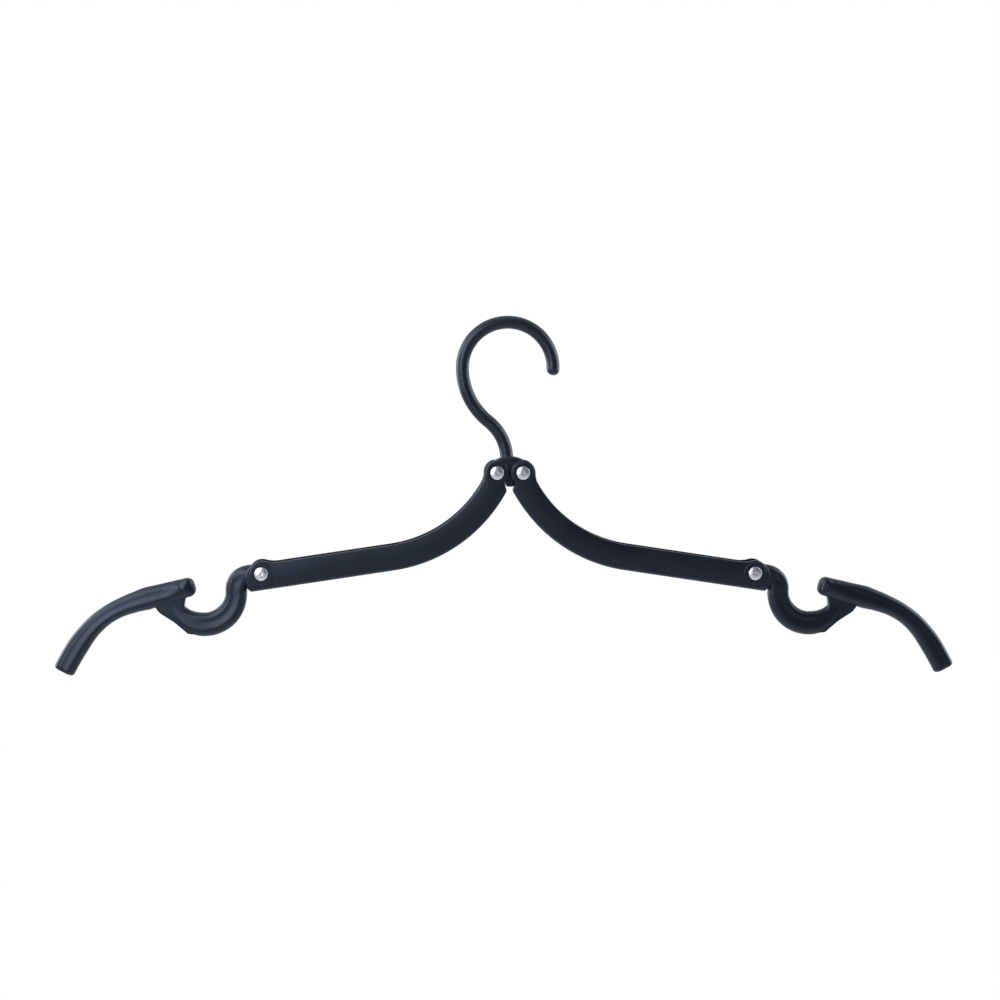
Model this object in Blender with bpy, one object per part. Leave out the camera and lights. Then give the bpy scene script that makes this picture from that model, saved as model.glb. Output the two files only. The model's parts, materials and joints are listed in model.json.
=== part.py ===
"""Folding travel hanger: a hook, two channel-shaped inner arms and two outer arms, hinged on four rivets.

All lengths are metres. +X is to the right, +Z is up and the front faces -Y. The origin is the rod seat,
where the hanger hangs: the top of the inside of the hook's bend, on the plane midway between the arms.
Each arm is drawn for the right side, with its own hinge as the origin, and the left one is its mirror image.
"""

import math

import bpy
from mathutils import Vector

# Hook: the bar and the bends of its centre line, from the tip to the hub
HOOK_BAR = 0.0060
HOOK_BEND = 0.0202
HOOK_TIP_DIP = math.radians(9.5)
HOOK_BACK_BEND = 0.0305
HOOK_BACK_TURN = math.radians(50)
HOOK_SLANT = 0.0018
HOOK_NECK_BEND = 0.0214
HOOK_NECK_TURN = math.radians(45)
HOOK_ROOT = 0.0048
HOOK_SHIFT = 0.0010
HOOK_RISE = 0.0467
HOOK_TIP_ROUND = 0.0028

# Hub: the flat foot of the hook, between the inner arms' ears
PIVOT_HALF = 0.0058
HUB_EYE = 0.0049
HUB_DEPTH = 0.0074
CROWN_TOP = 0.0073
CROWN_BEND = 0.0130
CROWN_ROUND = 0.0030
NOSE_DROP = 0.0063
NOSE_CORNER = 0.0005
HUB_EDGE = 0.0006

# Rivets, alike at all four hinges
SHANK = 0.0016
HEAD = 0.0031
HEAD_THICK = 0.0009
HEAD_CHAMFER = 0.00035
HEAD_DIMPLE = 0.0009
HEAD_DIMPLE_DEEP = 0.0004
TAIL_BORE = 0.0010
TAIL_BORE_DEEP = 0.0024
SEAT_DEEP = 0.0005

# Inner arm: the place of its outer hinge, and the channel between the two hinges
ARM_REACH = 0.1044
ARM_FALL = 0.0449
ARM_SLOPE = math.radians(8.5)
TOP_BEND = 0.0562
ARM_HEIGHT = 0.0115
EDGE_OVER_HUB = 0.0040
EDGE_OVER_TIP = 0.0041
CHANNEL = 0.0080
WALL = 0.0015
FLOOR = 0.0015
ARM_TOP_ROUND = 0.0005
ARM_UNDER_ROUND = 0.0013
TOE_HALF_GAP = 0.0014
TOE_LEAN = math.radians(14)

# Ears at the two ends of the inner arm
HUB_EAR = 0.0056
TIP_EAR = 0.0058
HUB_BLEND = 0.0085
TIP_BLEND = 0.0130
CHEEK = 0.0056
CHEEK_OUT = 0.0013
CHEEK_DROP = 0.0012
BOSS_RISE = 0.0004
BOSS_RIM = 0.0006
HEEL_CORNER = 0.0018

# Outer arm: the bar round the strap notch, from its eye to its far end, and how it widens on the way
BAR = 0.0088
DROP_BAR = 0.0096
NOTCH_BAR = 0.0106
FADE_BAR = 0.0070
BAR_DEPTH = 0.0072
EYE_DEPTH = 0.0074
EYE_EDGE = 0.0006
TONGUE_RUN = 0.0061
TONGUE_BEND = 0.0062
NOTCH_DROP = 0.0018
NOTCH_BEND = 0.0142
NOTCH_TURN = math.radians(92)
FADE_TURN = math.radians(70)

# Outer arm: the thin web and the shoulder bar above it
WEB_DEPTH = 0.0046
WEB_EDGE = 0.0004
SHOULDER_START = 0.0295
SHOULDER_START_DROP = 0.0055
SHOULDER_END = 0.0878
SHOULDER_END_DROP = 0.0441
SHOULDER_NEAR_HANDLE = 0.0348
SHOULDER_FAR_HANDLE = 0.0348
SHOULDER_NEAR_SLOPE = math.radians(16.5)
SHOULDER_FAR_SLOPE = math.radians(63)
SHOULDER_BAR = 0.0102
SHOULDER_DEPTH = 0.0071
DOME_ROUND = 0.0032
TIP_ROUND = 0.0016

# Clearances: running fits at the hinges, stops that meet at rest, and the overrun of every cut
RUNNING_GAP = 0.0003
STOP_GAP = 0.0003
OVERRUN = 0.0040

# Fineness of the facets
RUN_STEP = 0.0050
LEAST_STEP = 0.0001
FACET_SAG = 0.00004
WIDEST_FACET = math.radians(15)
SHOULDER_STEPS = 20
BAR_SIDES = 14
LATHE_SIDES = 24
ROUND_STEPS = 2
END_STEPS = 3
ROUND_SECTION = 2
SOFT_SQUARE_SECTION = 2.5
MITRE_share = 0.5
MIDWAY_share = 0.6
SMOOTH_ANGLE = math.radians(32)

# The web's outline from the bar round to the notch, as shares of the notch bend, from the bend's centre
WEB_shares = (
    (0.25, -1.34),
    (0.50, -1.29),
    (0.92, -0.93),
    (1.37, -0.64),
    (1.47, -0.52),
    (1.54, -0.40),
    (1.37, -0.10),
    (0.68, 0.06),
    (0.53, -0.08),
    (0.58, -0.20),
    (0.60, -0.31),
    (0.61, -0.44),
    (0.54, -0.55),
    (0.23, -0.92),
)

# The shoulder bar's width along its length, both as shares
SHOULDER_WIDTH_shares = (
    (0.00, 0.82),
    (0.18, 0.92),
    (0.30, 1.00),
    (0.38, 0.90),
    (0.47, 0.82),
    (0.56, 0.80),
    (0.68, 0.84),
    (0.82, 0.94),
    (1.00, 0.95),
)

# Materials
PLASTIC_COLOUR = (0.014, 0.017, 0.022)
PLASTIC_ROUGHNESS = 0.42
METAL_COLOUR = (0.78, 0.79, 0.80)
METAL_ROUGHNESS = 0.28

# Sizes that follow from the others
SIDES = (("right", 1), ("left", -1))
HUB_Z = HOOK_BAR / 2 - HOOK_BEND - HOOK_RISE
ARM_DEPTH = CHANNEL + 2 * WALL
BOSS_FACE = ARM_DEPTH / 2 + BOSS_RISE
BORE = SHANK + RUNNING_GAP


def clear_scene():
    for old in list(bpy.data.objects):
        bpy.data.objects.remove(old, do_unlink=True)


def finish(name, colour, roughness, metallic):
    """A plain material of one linear colour."""
    material = bpy.data.materials.new(name)
    material.use_nodes = True
    shader = material.node_tree.nodes["Principled BSDF"]
    shader.inputs["Base Color"].default_value = (*colour, 1)
    shader.inputs["Roughness"].default_value = roughness
    shader.inputs["Metallic"].default_value = metallic
    return material


def facets(radius, angle):
    """How many straight facets keep an arc within the named sag."""
    widest = min(WIDEST_FACET, 2 * math.acos(1 - FACET_SAG / radius))
    return max(1, math.ceil(abs(angle) / widest))


class Pen:
    """A line drawn in the XZ plane from a start and a heading; each point keeps the heading there."""

    def __init__(self, x, z, heading):
        self.points = [(x, z, heading)]

    def run(self, length):
        x, z, heading = self.points[-1]
        count = max(1, math.ceil(length / RUN_STEP))
        for step in range(1, count + 1):
            gone = length * step / count
            self.points.append((x + gone * math.cos(heading), z + gone * math.sin(heading), heading))
        return self

    def turn(self, radius, angle):
        """An arc of this radius, to the left where the angle is positive."""
        x, z, heading = self.points[-1]
        hand = math.copysign(1, angle)
        centre_x = x - hand * radius * math.sin(heading)
        centre_z = z + hand * radius * math.cos(heading)
        count = facets(radius, angle)
        for step in range(1, count + 1):
            now = heading + angle * step / count
            x = centre_x + hand * radius * math.sin(now)
            z = centre_z - hand * radius * math.cos(now)
            self.points.append((x, z, now))
        return self


def arc(centre, radius, start, end, clockwise=False):
    """Points of an arc from one polar angle round to another, both ends included."""
    full = 2 * math.pi
    sweep = -((start - end) % full) if clockwise else (end - start) % full
    count = facets(radius, sweep)
    angles = [start + sweep * step / count for step in range(count + 1)]
    return [(centre[0] + radius * math.cos(a), centre[1] + radius * math.sin(a)) for a in angles]


def polar(centre, point):
    return math.atan2(point[1] - centre[1], point[0] - centre[0])


def circles_meet(first, first_radius, second, second_radius):
    """Where two circles cross, to the left of the line from the first centre to the second."""
    first = Vector(first)
    between = Vector(second) - first
    apart = between.length
    ahead = (apart**2 + first_radius**2 - second_radius**2) / (2 * apart)
    aside = math.sqrt(first_radius**2 - ahead**2)
    unit = between / apart
    return first + unit * ahead + Vector((-unit.y, unit.x)) * aside


def line_meets_circle(start, direction, centre, radius):
    """Where a line from outside a circle first enters it; the direction has length one."""
    back = Vector(start) - Vector(centre)
    along = back.dot(direction)
    gone = -along - math.sqrt(along**2 - back.length_squared + radius**2)
    return Vector(start) + direction * gone


def tangent_angle(centre, radius, point):
    """The polar angle at which a line from an outside point touches a circle on its right-hand side."""
    return polar(centre, point) + math.acos(radius / math.dist(centre, point))


def measured(points):
    """The length of the line up to each of its points."""
    lengths = [0]
    for before, after in zip(points, points[1:]):
        lengths.append(lengths[-1] + math.dist(before[:2], after[:2]))
    return lengths


def between_rows(rows, keys, at):
    """The row at this key, read off a table in straight lines."""
    for before, after, low, high in zip(rows, rows[1:], keys, keys[1:]):
        if at <= high:
            part = (at - low) / (high - low)
            return tuple(a + (b - a) * part for a, b in zip(before, after))
    return tuple(rows[-1])


def end_stations(round_length):
    """Places within a rounded end, measured from it, closer together towards it."""
    quarter = math.pi / 2
    return [round_length * (1 - math.cos(quarter * step / END_STEPS)) for step in range(1, END_STEPS)]


def end_inset(from_end, round_length):
    """How far the surface is drawn in at this distance from a rounded end."""
    if from_end >= round_length:
        return 0
    left = 1 - from_end / round_length
    return round_length * (1 - math.sqrt(1 - left**2))


def sweep_rings(points, half_width, half_depth, section, start_round=0, end_round=0):
    """Rings along a line; the half width and half depth are functions of the share of its length."""
    lengths = measured(points)
    total = lengths[-1]
    stations = [at for at in lengths if start_round < at < total - end_round]
    stations += [start_round] + end_stations(start_round) if start_round else []
    stations += [total - end_round] + [total - at for at in end_stations(end_round)] if end_round else []
    last_face = total - end_stations(end_round)[0] / 2 if end_round else total
    places = [end_stations(start_round)[0] / 2 if start_round else 0]
    for at in sorted(stations):
        if places[-1] + LEAST_STEP < at < last_face - LEAST_STEP:
            places.append(at)
    rings = []
    for at in [*places, last_face]:
        x, z, heading = between_rows(points, lengths, at)
        inset = end_inset(at, start_round) if start_round else 0
        inset = max(inset, end_inset(total - at, end_round)) if end_round else inset
        wide = half_width(at / total) - inset
        deep = half_depth(at / total) - inset
        ring = []
        for side in range(BAR_SIDES):
            angle = math.pi * (2 * side + 1) / BAR_SIDES
            across = squared(math.cos(angle), section) * wide
            y = squared(math.sin(angle), section) * deep
            ring.append((x - across * math.sin(heading), y, z + across * math.cos(heading)))
        rings.append(ring)
    return rings


def squared(unit, section):
    """A cosine or sine, pushed outwards by a section above 2, which squares the circle softly."""
    return math.copysign(abs(unit) ** (2 / section), unit)


def inward_normals(outline):
    """At each point of a closed anticlockwise outline: the step that moves both of its edges in by one."""
    steps = []
    for before, here, after in zip(outline[-1:] + outline[:-1], outline, outline[1:] + outline[:1]):
        into = Vector(here) - Vector(before)
        out = Vector(after) - Vector(here)
        first = Vector((-into.y, into.x)).normalized()
        second = Vector((-out.y, out.x)).normalized()
        middle = (first + second).normalized()
        steps.append(middle / max(middle.dot(first), MITRE_share))
    return steps


def slab_rings(outline, half_depth, rounding):
    """A plate of this outline with rounded edges; the rounding is one radius, or one for each point."""
    radii = rounding if isinstance(rounding, list) else [rounding] * len(outline)
    steps = inward_normals(outline)
    front = []
    for level in range(ROUND_STEPS + 1):
        angle = math.pi / 2 * level / ROUND_STEPS
        ring = []
        for (x, z), step, radius in zip(outline, steps, radii):
            inset = radius * (1 - math.sin(angle))
            lowered = radius * (1 - math.cos(angle))
            ring.append((x + step.x * inset, lowered - half_depth, z + step.y * inset))
        front.append(ring)
    back = [[(x, -y, z) for x, y, z in ring] for ring in reversed(front)]
    return front + back


def lathe_rings(profile):
    """A turned shape about an axis along Y; the profile runs from front to back as (radius, y)."""
    angles = [2 * math.pi * side / LATHE_SIDES for side in range(LATHE_SIDES)]
    return [[(radius * math.cos(a), y, radius * math.sin(a)) for a in angles] for radius, y in profile]


def solid(name, rings, material, parent, hand=1, offset=(0, 0)):
    """A closed object through these rings; a hand of -1 mirrors it to the left."""
    count = len(rings[0])
    points = [(hand * x, y, z) for ring in rings for x, y, z in ring]
    faces = [list(range(count)), [len(points) - 1 - i for i in range(count)]]
    for row in range(len(rings) - 1):
        for i in range(count):
            after = (i + 1) % count
            faces.append(
                [row * count + i, (row + 1) * count + i, (row + 1) * count + after, row * count + after]
            )
    if hand < 0:
        faces = [face[::-1] for face in faces]
    mesh = bpy.data.meshes.new(name)
    mesh.from_pydata(points, [], faces)
    mesh.materials.append(material)
    mesh.shade_smooth()
    mesh.set_sharp_from_angle(angle=SMOOTH_ANGLE)
    made = bpy.data.objects.new(name, mesh)
    made.parent = parent
    made.location = (hand * offset[0], 0, offset[1])
    bpy.context.scene.collection.objects.link(made)
    return made


def combine(target, other, operation):
    """Joins the other shape to the target, or cuts it out, and leaves the other as a wire helper."""
    boolean = target.modifiers.new(other.name, "BOOLEAN")
    boolean.operation = operation
    boolean.solver = "EXACT"
    boolean.object = other
    other.hide_render = True
    other.display_type = "WIRE"


def hinge(name, x, z, parent=None):
    """An empty on a hinge's axis, which carries all that turns about it."""
    made = bpy.data.objects.new(name, None)
    made.parent = parent
    made.location = (x, 0, z)
    bpy.context.scene.collection.objects.link(made)
    return made


def bend_centre():
    """The centre of the inner arm's bend, which puts its top edge at its named heights over both hinges."""
    up, along = arm_axes()
    rise = up.dot(arm_tip()) + EDGE_OVER_TIP + TOP_BEND
    return up * rise + along * math.sqrt((TOP_BEND + EDGE_OVER_HUB) ** 2 - rise**2)


def arm_tip():
    return Vector((ARM_REACH, -ARM_FALL))


def arm_axes():
    """Across and along the straight part of the inner arm."""
    up = Vector((math.sin(ARM_SLOPE), math.cos(ARM_SLOPE)))
    return up, Vector((up.y, -up.x))


def toe_line():
    """The low corner of the inner arm's toe, from the arm's own hinge, and the direction up its end face."""
    centre = bend_centre()
    foot_x = TOE_HALF_GAP - PIVOT_HALF
    foot_z = centre.y - math.sqrt((TOP_BEND + ARM_HEIGHT) ** 2 - (centre.x - foot_x) ** 2)
    return Vector((foot_x, foot_z)), Vector((math.sin(TOE_LEAN), math.cos(TOE_LEAN)))


def hook_line():
    """The hook's centre line, from its tip over the rod, down the S-shaped neck and on into the hub.

    Its root ends at its named depth below the crown's top.
    """
    start = -HOOK_TIP_DIP
    x = HOOK_BEND * math.cos(start) - HOOK_SHIFT
    z = HOOK_BEND * math.sin(start) + HOOK_RISE
    pen = Pen(x, z, start + math.pi / 2)
    pen.turn(HOOK_BEND, math.pi + HOOK_TIP_DIP)
    pen.turn(HOOK_BACK_BEND, HOOK_BACK_TURN)
    pen.run(HOOK_SLANT)
    pen.turn(HOOK_NECK_BEND, -HOOK_NECK_TURN)
    x, z, heading = pen.points[-1]
    sunk = CROWN_TOP - HOOK_ROOT
    pen.run(max(LEAST_STEP, (sunk - z) / math.sin(heading)))
    return pen.points


def hub_outline():
    """The hub about the midpoint of its hinges, with its roundings: two eyes, a crown and a nose below."""
    eye = (PIVOT_HALF, 0)
    crown = (0, CROWN_TOP - CROWN_BEND)
    foot, rise = toe_line()
    flank = foot + Vector((PIVOT_HALF, 0)) - Vector((rise.y, -rise.x)) * STOP_GAP
    nose = flank + rise * ((-NOSE_DROP - flank.y) / rise.y)
    root = line_meets_circle(nose, rise, eye, HUB_EYE)
    shoulder = circles_meet(crown, CROWN_BEND, eye, HUB_EYE)
    right = [(nose.x - NOSE_CORNER, nose.y), tuple(nose + rise * NOSE_CORNER)]
    right += arc(eye, HUB_EYE, polar(eye, root), polar(eye, shoulder))
    right += arc(crown, CROWN_BEND, polar(crown, shoulder), math.pi / 2)[1:]
    outline = right + [(-x, z) for x, z in reversed(right[:-1])]
    return outline, [CROWN_ROUND if z > HUB_EYE else HUB_EDGE for x, z in outline]


def arm_outline():
    """The inner arm's side view about its own hinge, anticlockwise from the toe, with the edge roundings."""
    centre = bend_centre()
    tip = arm_tip()
    up, along = arm_axes()
    straight = polar((0, 0), -up)
    foot, rise = toe_line()
    heel_x = ARM_REACH + notch_side() - STOP_GAP
    low = tip + up * (EDGE_OVER_TIP - ARM_HEIGHT)
    heel = low + along * ((heel_x - low.x) / along.x)
    heel_top = heel + Vector((0, HEEL_CORNER))
    under = arc(centre, TOP_BEND + ARM_HEIGHT, polar(centre, foot), straight)
    under += [tuple(heel - along * HEEL_CORNER), tuple(heel_top)]
    over_tip = EDGE_OVER_TIP + TIP_BLEND
    tip_blend = tip + up * over_tip - along * math.sqrt((TIP_EAR + TIP_BLEND) ** 2 - over_tip**2)
    hub_blend = circles_meet(centre, TOP_BEND - HUB_BLEND, (0, 0), HUB_EAR + HUB_BLEND)
    inner_edge = line_meets_circle(foot, rise, (0, 0), HUB_EAR)
    cheek = tip + Vector((CHEEK_OUT, -CHEEK_DROP))
    shared = polar(cheek, tip) - math.acos((CHEEK - TIP_EAR) / (tip - cheek).length)
    over = arc(cheek, CHEEK, tangent_angle(cheek, CHEEK, heel_top), shared)
    over += arc(tip, TIP_EAR, shared, polar(tip, tip_blend))
    over += arc(tip_blend, TIP_BLEND, polar(tip_blend, tip), straight, clockwise=True)[1:]
    over += arc(centre, TOP_BEND, straight, polar(centre, hub_blend), clockwise=True)
    over += arc(hub_blend, HUB_BLEND, polar(centre, hub_blend), polar(hub_blend, (0, 0)), clockwise=True)[1:]
    over += arc((0, 0), HUB_EAR, polar((0, 0), hub_blend), polar((0, 0), inner_edge))[1:]
    return under + over, [ARM_UNDER_ROUND] * len(under) + [ARM_TOP_ROUND] * len(over)


def channel_outline():
    """The space inside the inner arm, over its floor and out at both ends."""
    centre = bend_centre()
    up, along = arm_axes()
    straight = polar((0, 0), -up)
    floor = arc(centre, TOP_BEND + ARM_HEIGHT - FLOOR, -math.pi, straight)
    floor_end = arm_tip() + up * (EDGE_OVER_TIP - ARM_HEIGHT + FLOOR) + along * (TIP_EAR + OVERRUN)
    return floor + [tuple(floor_end), (floor_end.x, centre.y)]


def bar_line():
    """The outer arm's notch bar about its hinge: out of the eye, down, and round under the notch.

    It comes with rows of its width and depth, and with the lengths from the eye at which these hold.
    """
    pen = Pen(0, 0, -ARM_SLOPE)
    rows = [(BAR, BAR_DEPTH)]
    ends = [0]
    for draw, width, depth in (
        (lambda: pen.run(TONGUE_RUN), BAR, BAR_DEPTH),
        (lambda: pen.turn(TONGUE_BEND, ARM_SLOPE - math.pi / 2), DROP_BAR, BAR_DEPTH),
        (lambda: pen.run(NOTCH_DROP), DROP_BAR, BAR_DEPTH),
        (lambda: pen.turn(NOTCH_BEND, NOTCH_TURN * MIDWAY_share), NOTCH_BAR, BAR_DEPTH),
        (lambda: pen.turn(NOTCH_BEND, NOTCH_TURN * (1 - MIDWAY_share)), NOTCH_BAR, BAR_DEPTH),
        (lambda: pen.turn(NOTCH_BEND, FADE_TURN), FADE_BAR, WEB_DEPTH),
    ):
        draw()
        rows.append((width, depth))
        ends.append(measured(pen.points)[-1])
    return pen.points, rows, ends


def notch_side():
    """How far the bar's near side lies from the hinge where the bar runs down beside the heel."""
    out = TONGUE_RUN * math.cos(ARM_SLOPE) - TONGUE_BEND * math.sin(ARM_SLOPE)
    return out + TONGUE_BEND - DROP_BAR / 2


def notch_centre():
    down = TONGUE_RUN * math.sin(ARM_SLOPE) + TONGUE_BEND * math.cos(ARM_SLOPE)
    return (notch_side() + DROP_BAR / 2 + NOTCH_BEND, -down - NOTCH_DROP)


def downhill(slope):
    """A step of one outwards and down at this slope."""
    return Vector((math.cos(slope), -math.sin(slope)))


def shoulder_line():
    """The shoulder bar's centre line about the hinge, as one cubic curve between its two named ends."""
    start = Vector((SHOULDER_START, -SHOULDER_START_DROP))
    end = Vector((SHOULDER_END, -SHOULDER_END_DROP))
    near = downhill(SHOULDER_NEAR_SLOPE) * SHOULDER_NEAR_HANDLE
    far = downhill(SHOULDER_FAR_SLOPE) * SHOULDER_FAR_HANDLE
    points = []
    for step in range(SHOULDER_STEPS + 1):
        t = step / SHOULDER_STEPS
        s = 1 - t
        place = start * s**3 + (start + near) * 3 * s**2 * t + (end - far) * 3 * s * t**2 + end * t**3
        slope = near * s**2 + (end - far - start - near) * 2 * s * t + far * t**2
        points.append((place.x, place.y, math.atan2(slope.y, slope.x)))
    return points


def bore_rings():
    half = ARM_DEPTH / 2 + OVERRUN
    return lathe_rings([(BORE, -half), (BORE, half)])


def make_hook(material, root):
    outline, rounding = hub_outline()
    hub = solid("hook", slab_rings(outline, HUB_DEPTH / 2, rounding), material, root)
    half = HOOK_BAR / 2
    rings = sweep_rings(hook_line(), lambda share: half, lambda share: half, ROUND_SECTION, HOOK_TIP_ROUND)
    combine(hub, solid("hook_bar", rings, material, root), "UNION")
    for side, hand in SIDES:
        bore = solid("hub_bore_" + side, bore_rings(), material, root, hand, (PIVOT_HALF, 0))
        combine(hub, bore, "DIFFERENCE")


def boss_rings(radius):
    """A round boss through both walls, proud of each, with a broken edge."""
    rim = radius - BOSS_RIM
    return lathe_rings(
        [
            (rim - BOSS_RISE, -BOSS_FACE),
            (rim, BOSS_RISE / 2 - BOSS_FACE),
            (rim, BOSS_FACE - BOSS_RISE / 2),
            (rim - BOSS_RISE, BOSS_FACE),
        ]
    )


def seat_rings():
    """The bore through both ears, with a round seat sunk into each face for the rivet's ends."""
    floor = BOSS_FACE - SEAT_DEEP
    seat = HEAD + RUNNING_GAP
    end = BOSS_FACE + OVERRUN
    return lathe_rings(
        [(seat, -end), (seat, -floor), (BORE, -floor), (BORE, floor), (seat, floor), (seat, end)]
    )


def make_inner_arm(side, hand, material, pivot):
    outline, rounding = arm_outline()
    arm = solid("inner_arm_" + side, slab_rings(outline, ARM_DEPTH / 2, rounding), material, pivot, hand)
    for end, place, radius in (("hub", (0, 0), HUB_EAR), ("tip", arm_tip(), TIP_EAR)):
        boss = solid(f"boss_{end}_{side}", boss_rings(radius), material, pivot, hand, place)
        combine(arm, boss, "UNION")
    channel = solid("channel_" + side, slab_rings(channel_outline(), CHANNEL / 2, 0), material, pivot, hand)
    combine(arm, channel, "DIFFERENCE")
    for end, place in (("hub", (0, 0)), ("tip", arm_tip())):
        seat = solid(f"seat_{end}_{side}", seat_rings(), material, pivot, hand, place)
        combine(arm, seat, "DIFFERENCE")


def make_outer_arm(side, hand, material, pivot):
    eye = arc((0, 0), BAR / 2, 0, math.pi) + arc((0, 0), BAR / 2, math.pi, 2 * math.pi)[1:-1]
    arm = solid("outer_arm_" + side, slab_rings(eye, EYE_DEPTH / 2, EYE_EDGE), material, pivot, hand)
    points, rows, ends = bar_line()
    rings = sweep_rings(
        points,
        lambda share: between_rows(rows, ends, share * ends[-1])[0] / 2,
        lambda share: between_rows(rows, ends, share * ends[-1])[1] / 2,
        SOFT_SQUARE_SECTION,
    )
    combine(arm, solid("notch_bar_" + side, rings, material, pivot, hand), "UNION")
    centre = notch_centre()
    outline = [(centre[0] + x * NOTCH_BEND, centre[1] + z * NOTCH_BEND) for x, z in WEB_shares]
    web = solid("web_" + side, slab_rings(outline, WEB_DEPTH / 2, WEB_EDGE), material, pivot, hand)
    combine(arm, web, "UNION")
    keys = [row[0] for row in SHOULDER_WIDTH_shares]
    rings = sweep_rings(
        shoulder_line(),
        lambda share: SHOULDER_BAR / 2 * between_rows(SHOULDER_WIDTH_shares, keys, share)[1],
        lambda share: SHOULDER_DEPTH / 2,
        SOFT_SQUARE_SECTION,
        DOME_ROUND,
        TIP_ROUND,
    )
    combine(arm, solid("shoulder_" + side, rings, material, pivot, hand), "UNION")
    combine(arm, solid("eye_bore_" + side, bore_rings(), material, pivot, hand), "DIFFERENCE")


def make_rivet(name, hand, material, pivot, place):
    """A tubular rivet: a dimpled head in front and a rolled end with an open bore behind."""
    under = BOSS_FACE - SEAT_DEEP + RUNNING_GAP
    face = under + HEAD_THICK
    rim = HEAD - HEAD_CHAMFER
    bore = TAIL_BORE
    profile = [
        (HEAD_DIMPLE / 2, HEAD_DIMPLE_DEEP - face),
        (HEAD_DIMPLE, -face),
        (rim, -face),
        (HEAD, HEAD_CHAMFER - face),
        (HEAD, -under),
        (SHANK, -under),
        (SHANK, under),
        (HEAD, under),
        (HEAD, face - HEAD_CHAMFER),
        (rim, face),
        (bore + HEAD_CHAMFER, face),
        (bore, face - HEAD_CHAMFER),
        (bore, face - TAIL_BORE_DEEP),
    ]
    solid(name, lathe_rings(profile), material, pivot, hand, place)


def build():
    clear_scene()
    plastic = finish("moulded_plastic", PLASTIC_COLOUR, PLASTIC_ROUGHNESS, 0)
    metal = finish("rivet_metal", METAL_COLOUR, METAL_ROUGHNESS, 1)
    hub = hinge("hub_middle", 0, HUB_Z)
    make_hook(plastic, hub)
    for side, hand in SIDES:
        inner = hinge("inner_hinge_" + side, hand * PIVOT_HALF, 0, hub)
        outer = hinge("outer_hinge_" + side, hand * ARM_REACH, -ARM_FALL, inner)
        make_inner_arm(side, hand, plastic, inner)
        make_outer_arm(side, hand, plastic, outer)
        make_rivet("inner_rivet_" + side, hand, metal, inner, (0, 0))
        make_rivet("outer_rivet_" + side, hand, metal, inner, arm_tip())


build()
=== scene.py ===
"""Dresses the folding travel hanger: moulded black plastic arms and hook on four bright turned rivets.

Every length is in metres, in the frame's own axes: +X to the right, +Z up, the front towards -Y. The hinge
places come from the frame. The mouldings repeat the sizes of the solids that they stand for, drawn finer.
"""

import json
import logging
import math
from collections.abc import Callable, Iterable, Sequence
from dataclasses import dataclass, field, replace
from enum import Enum

import bmesh
import bpy
from bpy.types import Material, Mesh, Node, NodeSocket, NodeTree, Object
from mathutils import Matrix, Vector
from mathutils.geometry import delaunay_2d_cdt

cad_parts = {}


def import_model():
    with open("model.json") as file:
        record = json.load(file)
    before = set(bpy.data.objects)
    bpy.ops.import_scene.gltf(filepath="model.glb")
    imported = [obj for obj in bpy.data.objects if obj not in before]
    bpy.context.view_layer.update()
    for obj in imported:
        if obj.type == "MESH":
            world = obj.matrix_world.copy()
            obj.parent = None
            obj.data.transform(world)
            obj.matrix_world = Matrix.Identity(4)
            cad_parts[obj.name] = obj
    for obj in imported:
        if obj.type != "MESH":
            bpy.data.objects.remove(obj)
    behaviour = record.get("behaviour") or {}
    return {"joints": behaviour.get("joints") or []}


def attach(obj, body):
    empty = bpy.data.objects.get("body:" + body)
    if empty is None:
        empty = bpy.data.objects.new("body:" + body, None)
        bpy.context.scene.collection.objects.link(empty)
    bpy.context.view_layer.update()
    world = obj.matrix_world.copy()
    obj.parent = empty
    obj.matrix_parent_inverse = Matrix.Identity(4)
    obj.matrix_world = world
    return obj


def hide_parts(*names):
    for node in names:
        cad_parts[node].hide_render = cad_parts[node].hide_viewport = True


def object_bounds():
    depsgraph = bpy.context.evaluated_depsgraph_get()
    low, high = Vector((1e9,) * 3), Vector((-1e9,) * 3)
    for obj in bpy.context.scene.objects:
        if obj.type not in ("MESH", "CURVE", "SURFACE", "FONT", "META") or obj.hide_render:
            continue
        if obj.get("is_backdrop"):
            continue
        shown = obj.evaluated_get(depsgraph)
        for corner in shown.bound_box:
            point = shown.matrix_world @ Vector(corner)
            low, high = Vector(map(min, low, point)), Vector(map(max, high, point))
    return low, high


LOG = logging.getLogger("hanger")
MM = 0.001
MERGE = 0.0005 * MM  # points closer than this become one
VOXEL = 0.26 * MM  # the fineness of melted skins
SMOOTHING_ROUNDS = 5
SMOOTHING_SHARE = 0.5
FINE_CREASE = 34.0  # degrees above which an edge stays sharp
SOFT_CREASE = 50.0  # the same for melted skins and turned faces
ELLIPSE = 2.0  # the power of a section without corners
END_STEPS = 12  # stations at a bar's rounded end
EDGE_STEPS = 6  # facets of a plate's rounded edge
ARC_STEP = math.radians(5)
CHORD_GAP = 0.006 * MM  # how far an arc's chords may lie inside it
FACE_SPACING = 0.8 * MM  # the fineness of crowned faces
ROW_PITCH = 0.866  # the height of an even triangle of side one
BORDER = 0.12 * MM  # the width of the flat ring inside a rounded edge
MITRE_LIMIT = 0.5
SHORT_OF_TURN = 1e-6  # keeps a whole turn from being taken for none
Point = tuple[float, float]
Place = tuple[float, float, float]
Ring = list[Place]
Size = tuple[float, float, float, float]


class Side(Enum):
    """The two sides of the hanger; the value is the sign of X there."""

    RIGHT = 1
    LEFT = -1

    @property
    def word(self) -> str:
        """The side's name as the frame's nodes and bodies spell it."""
        return self.name.lower()


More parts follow.
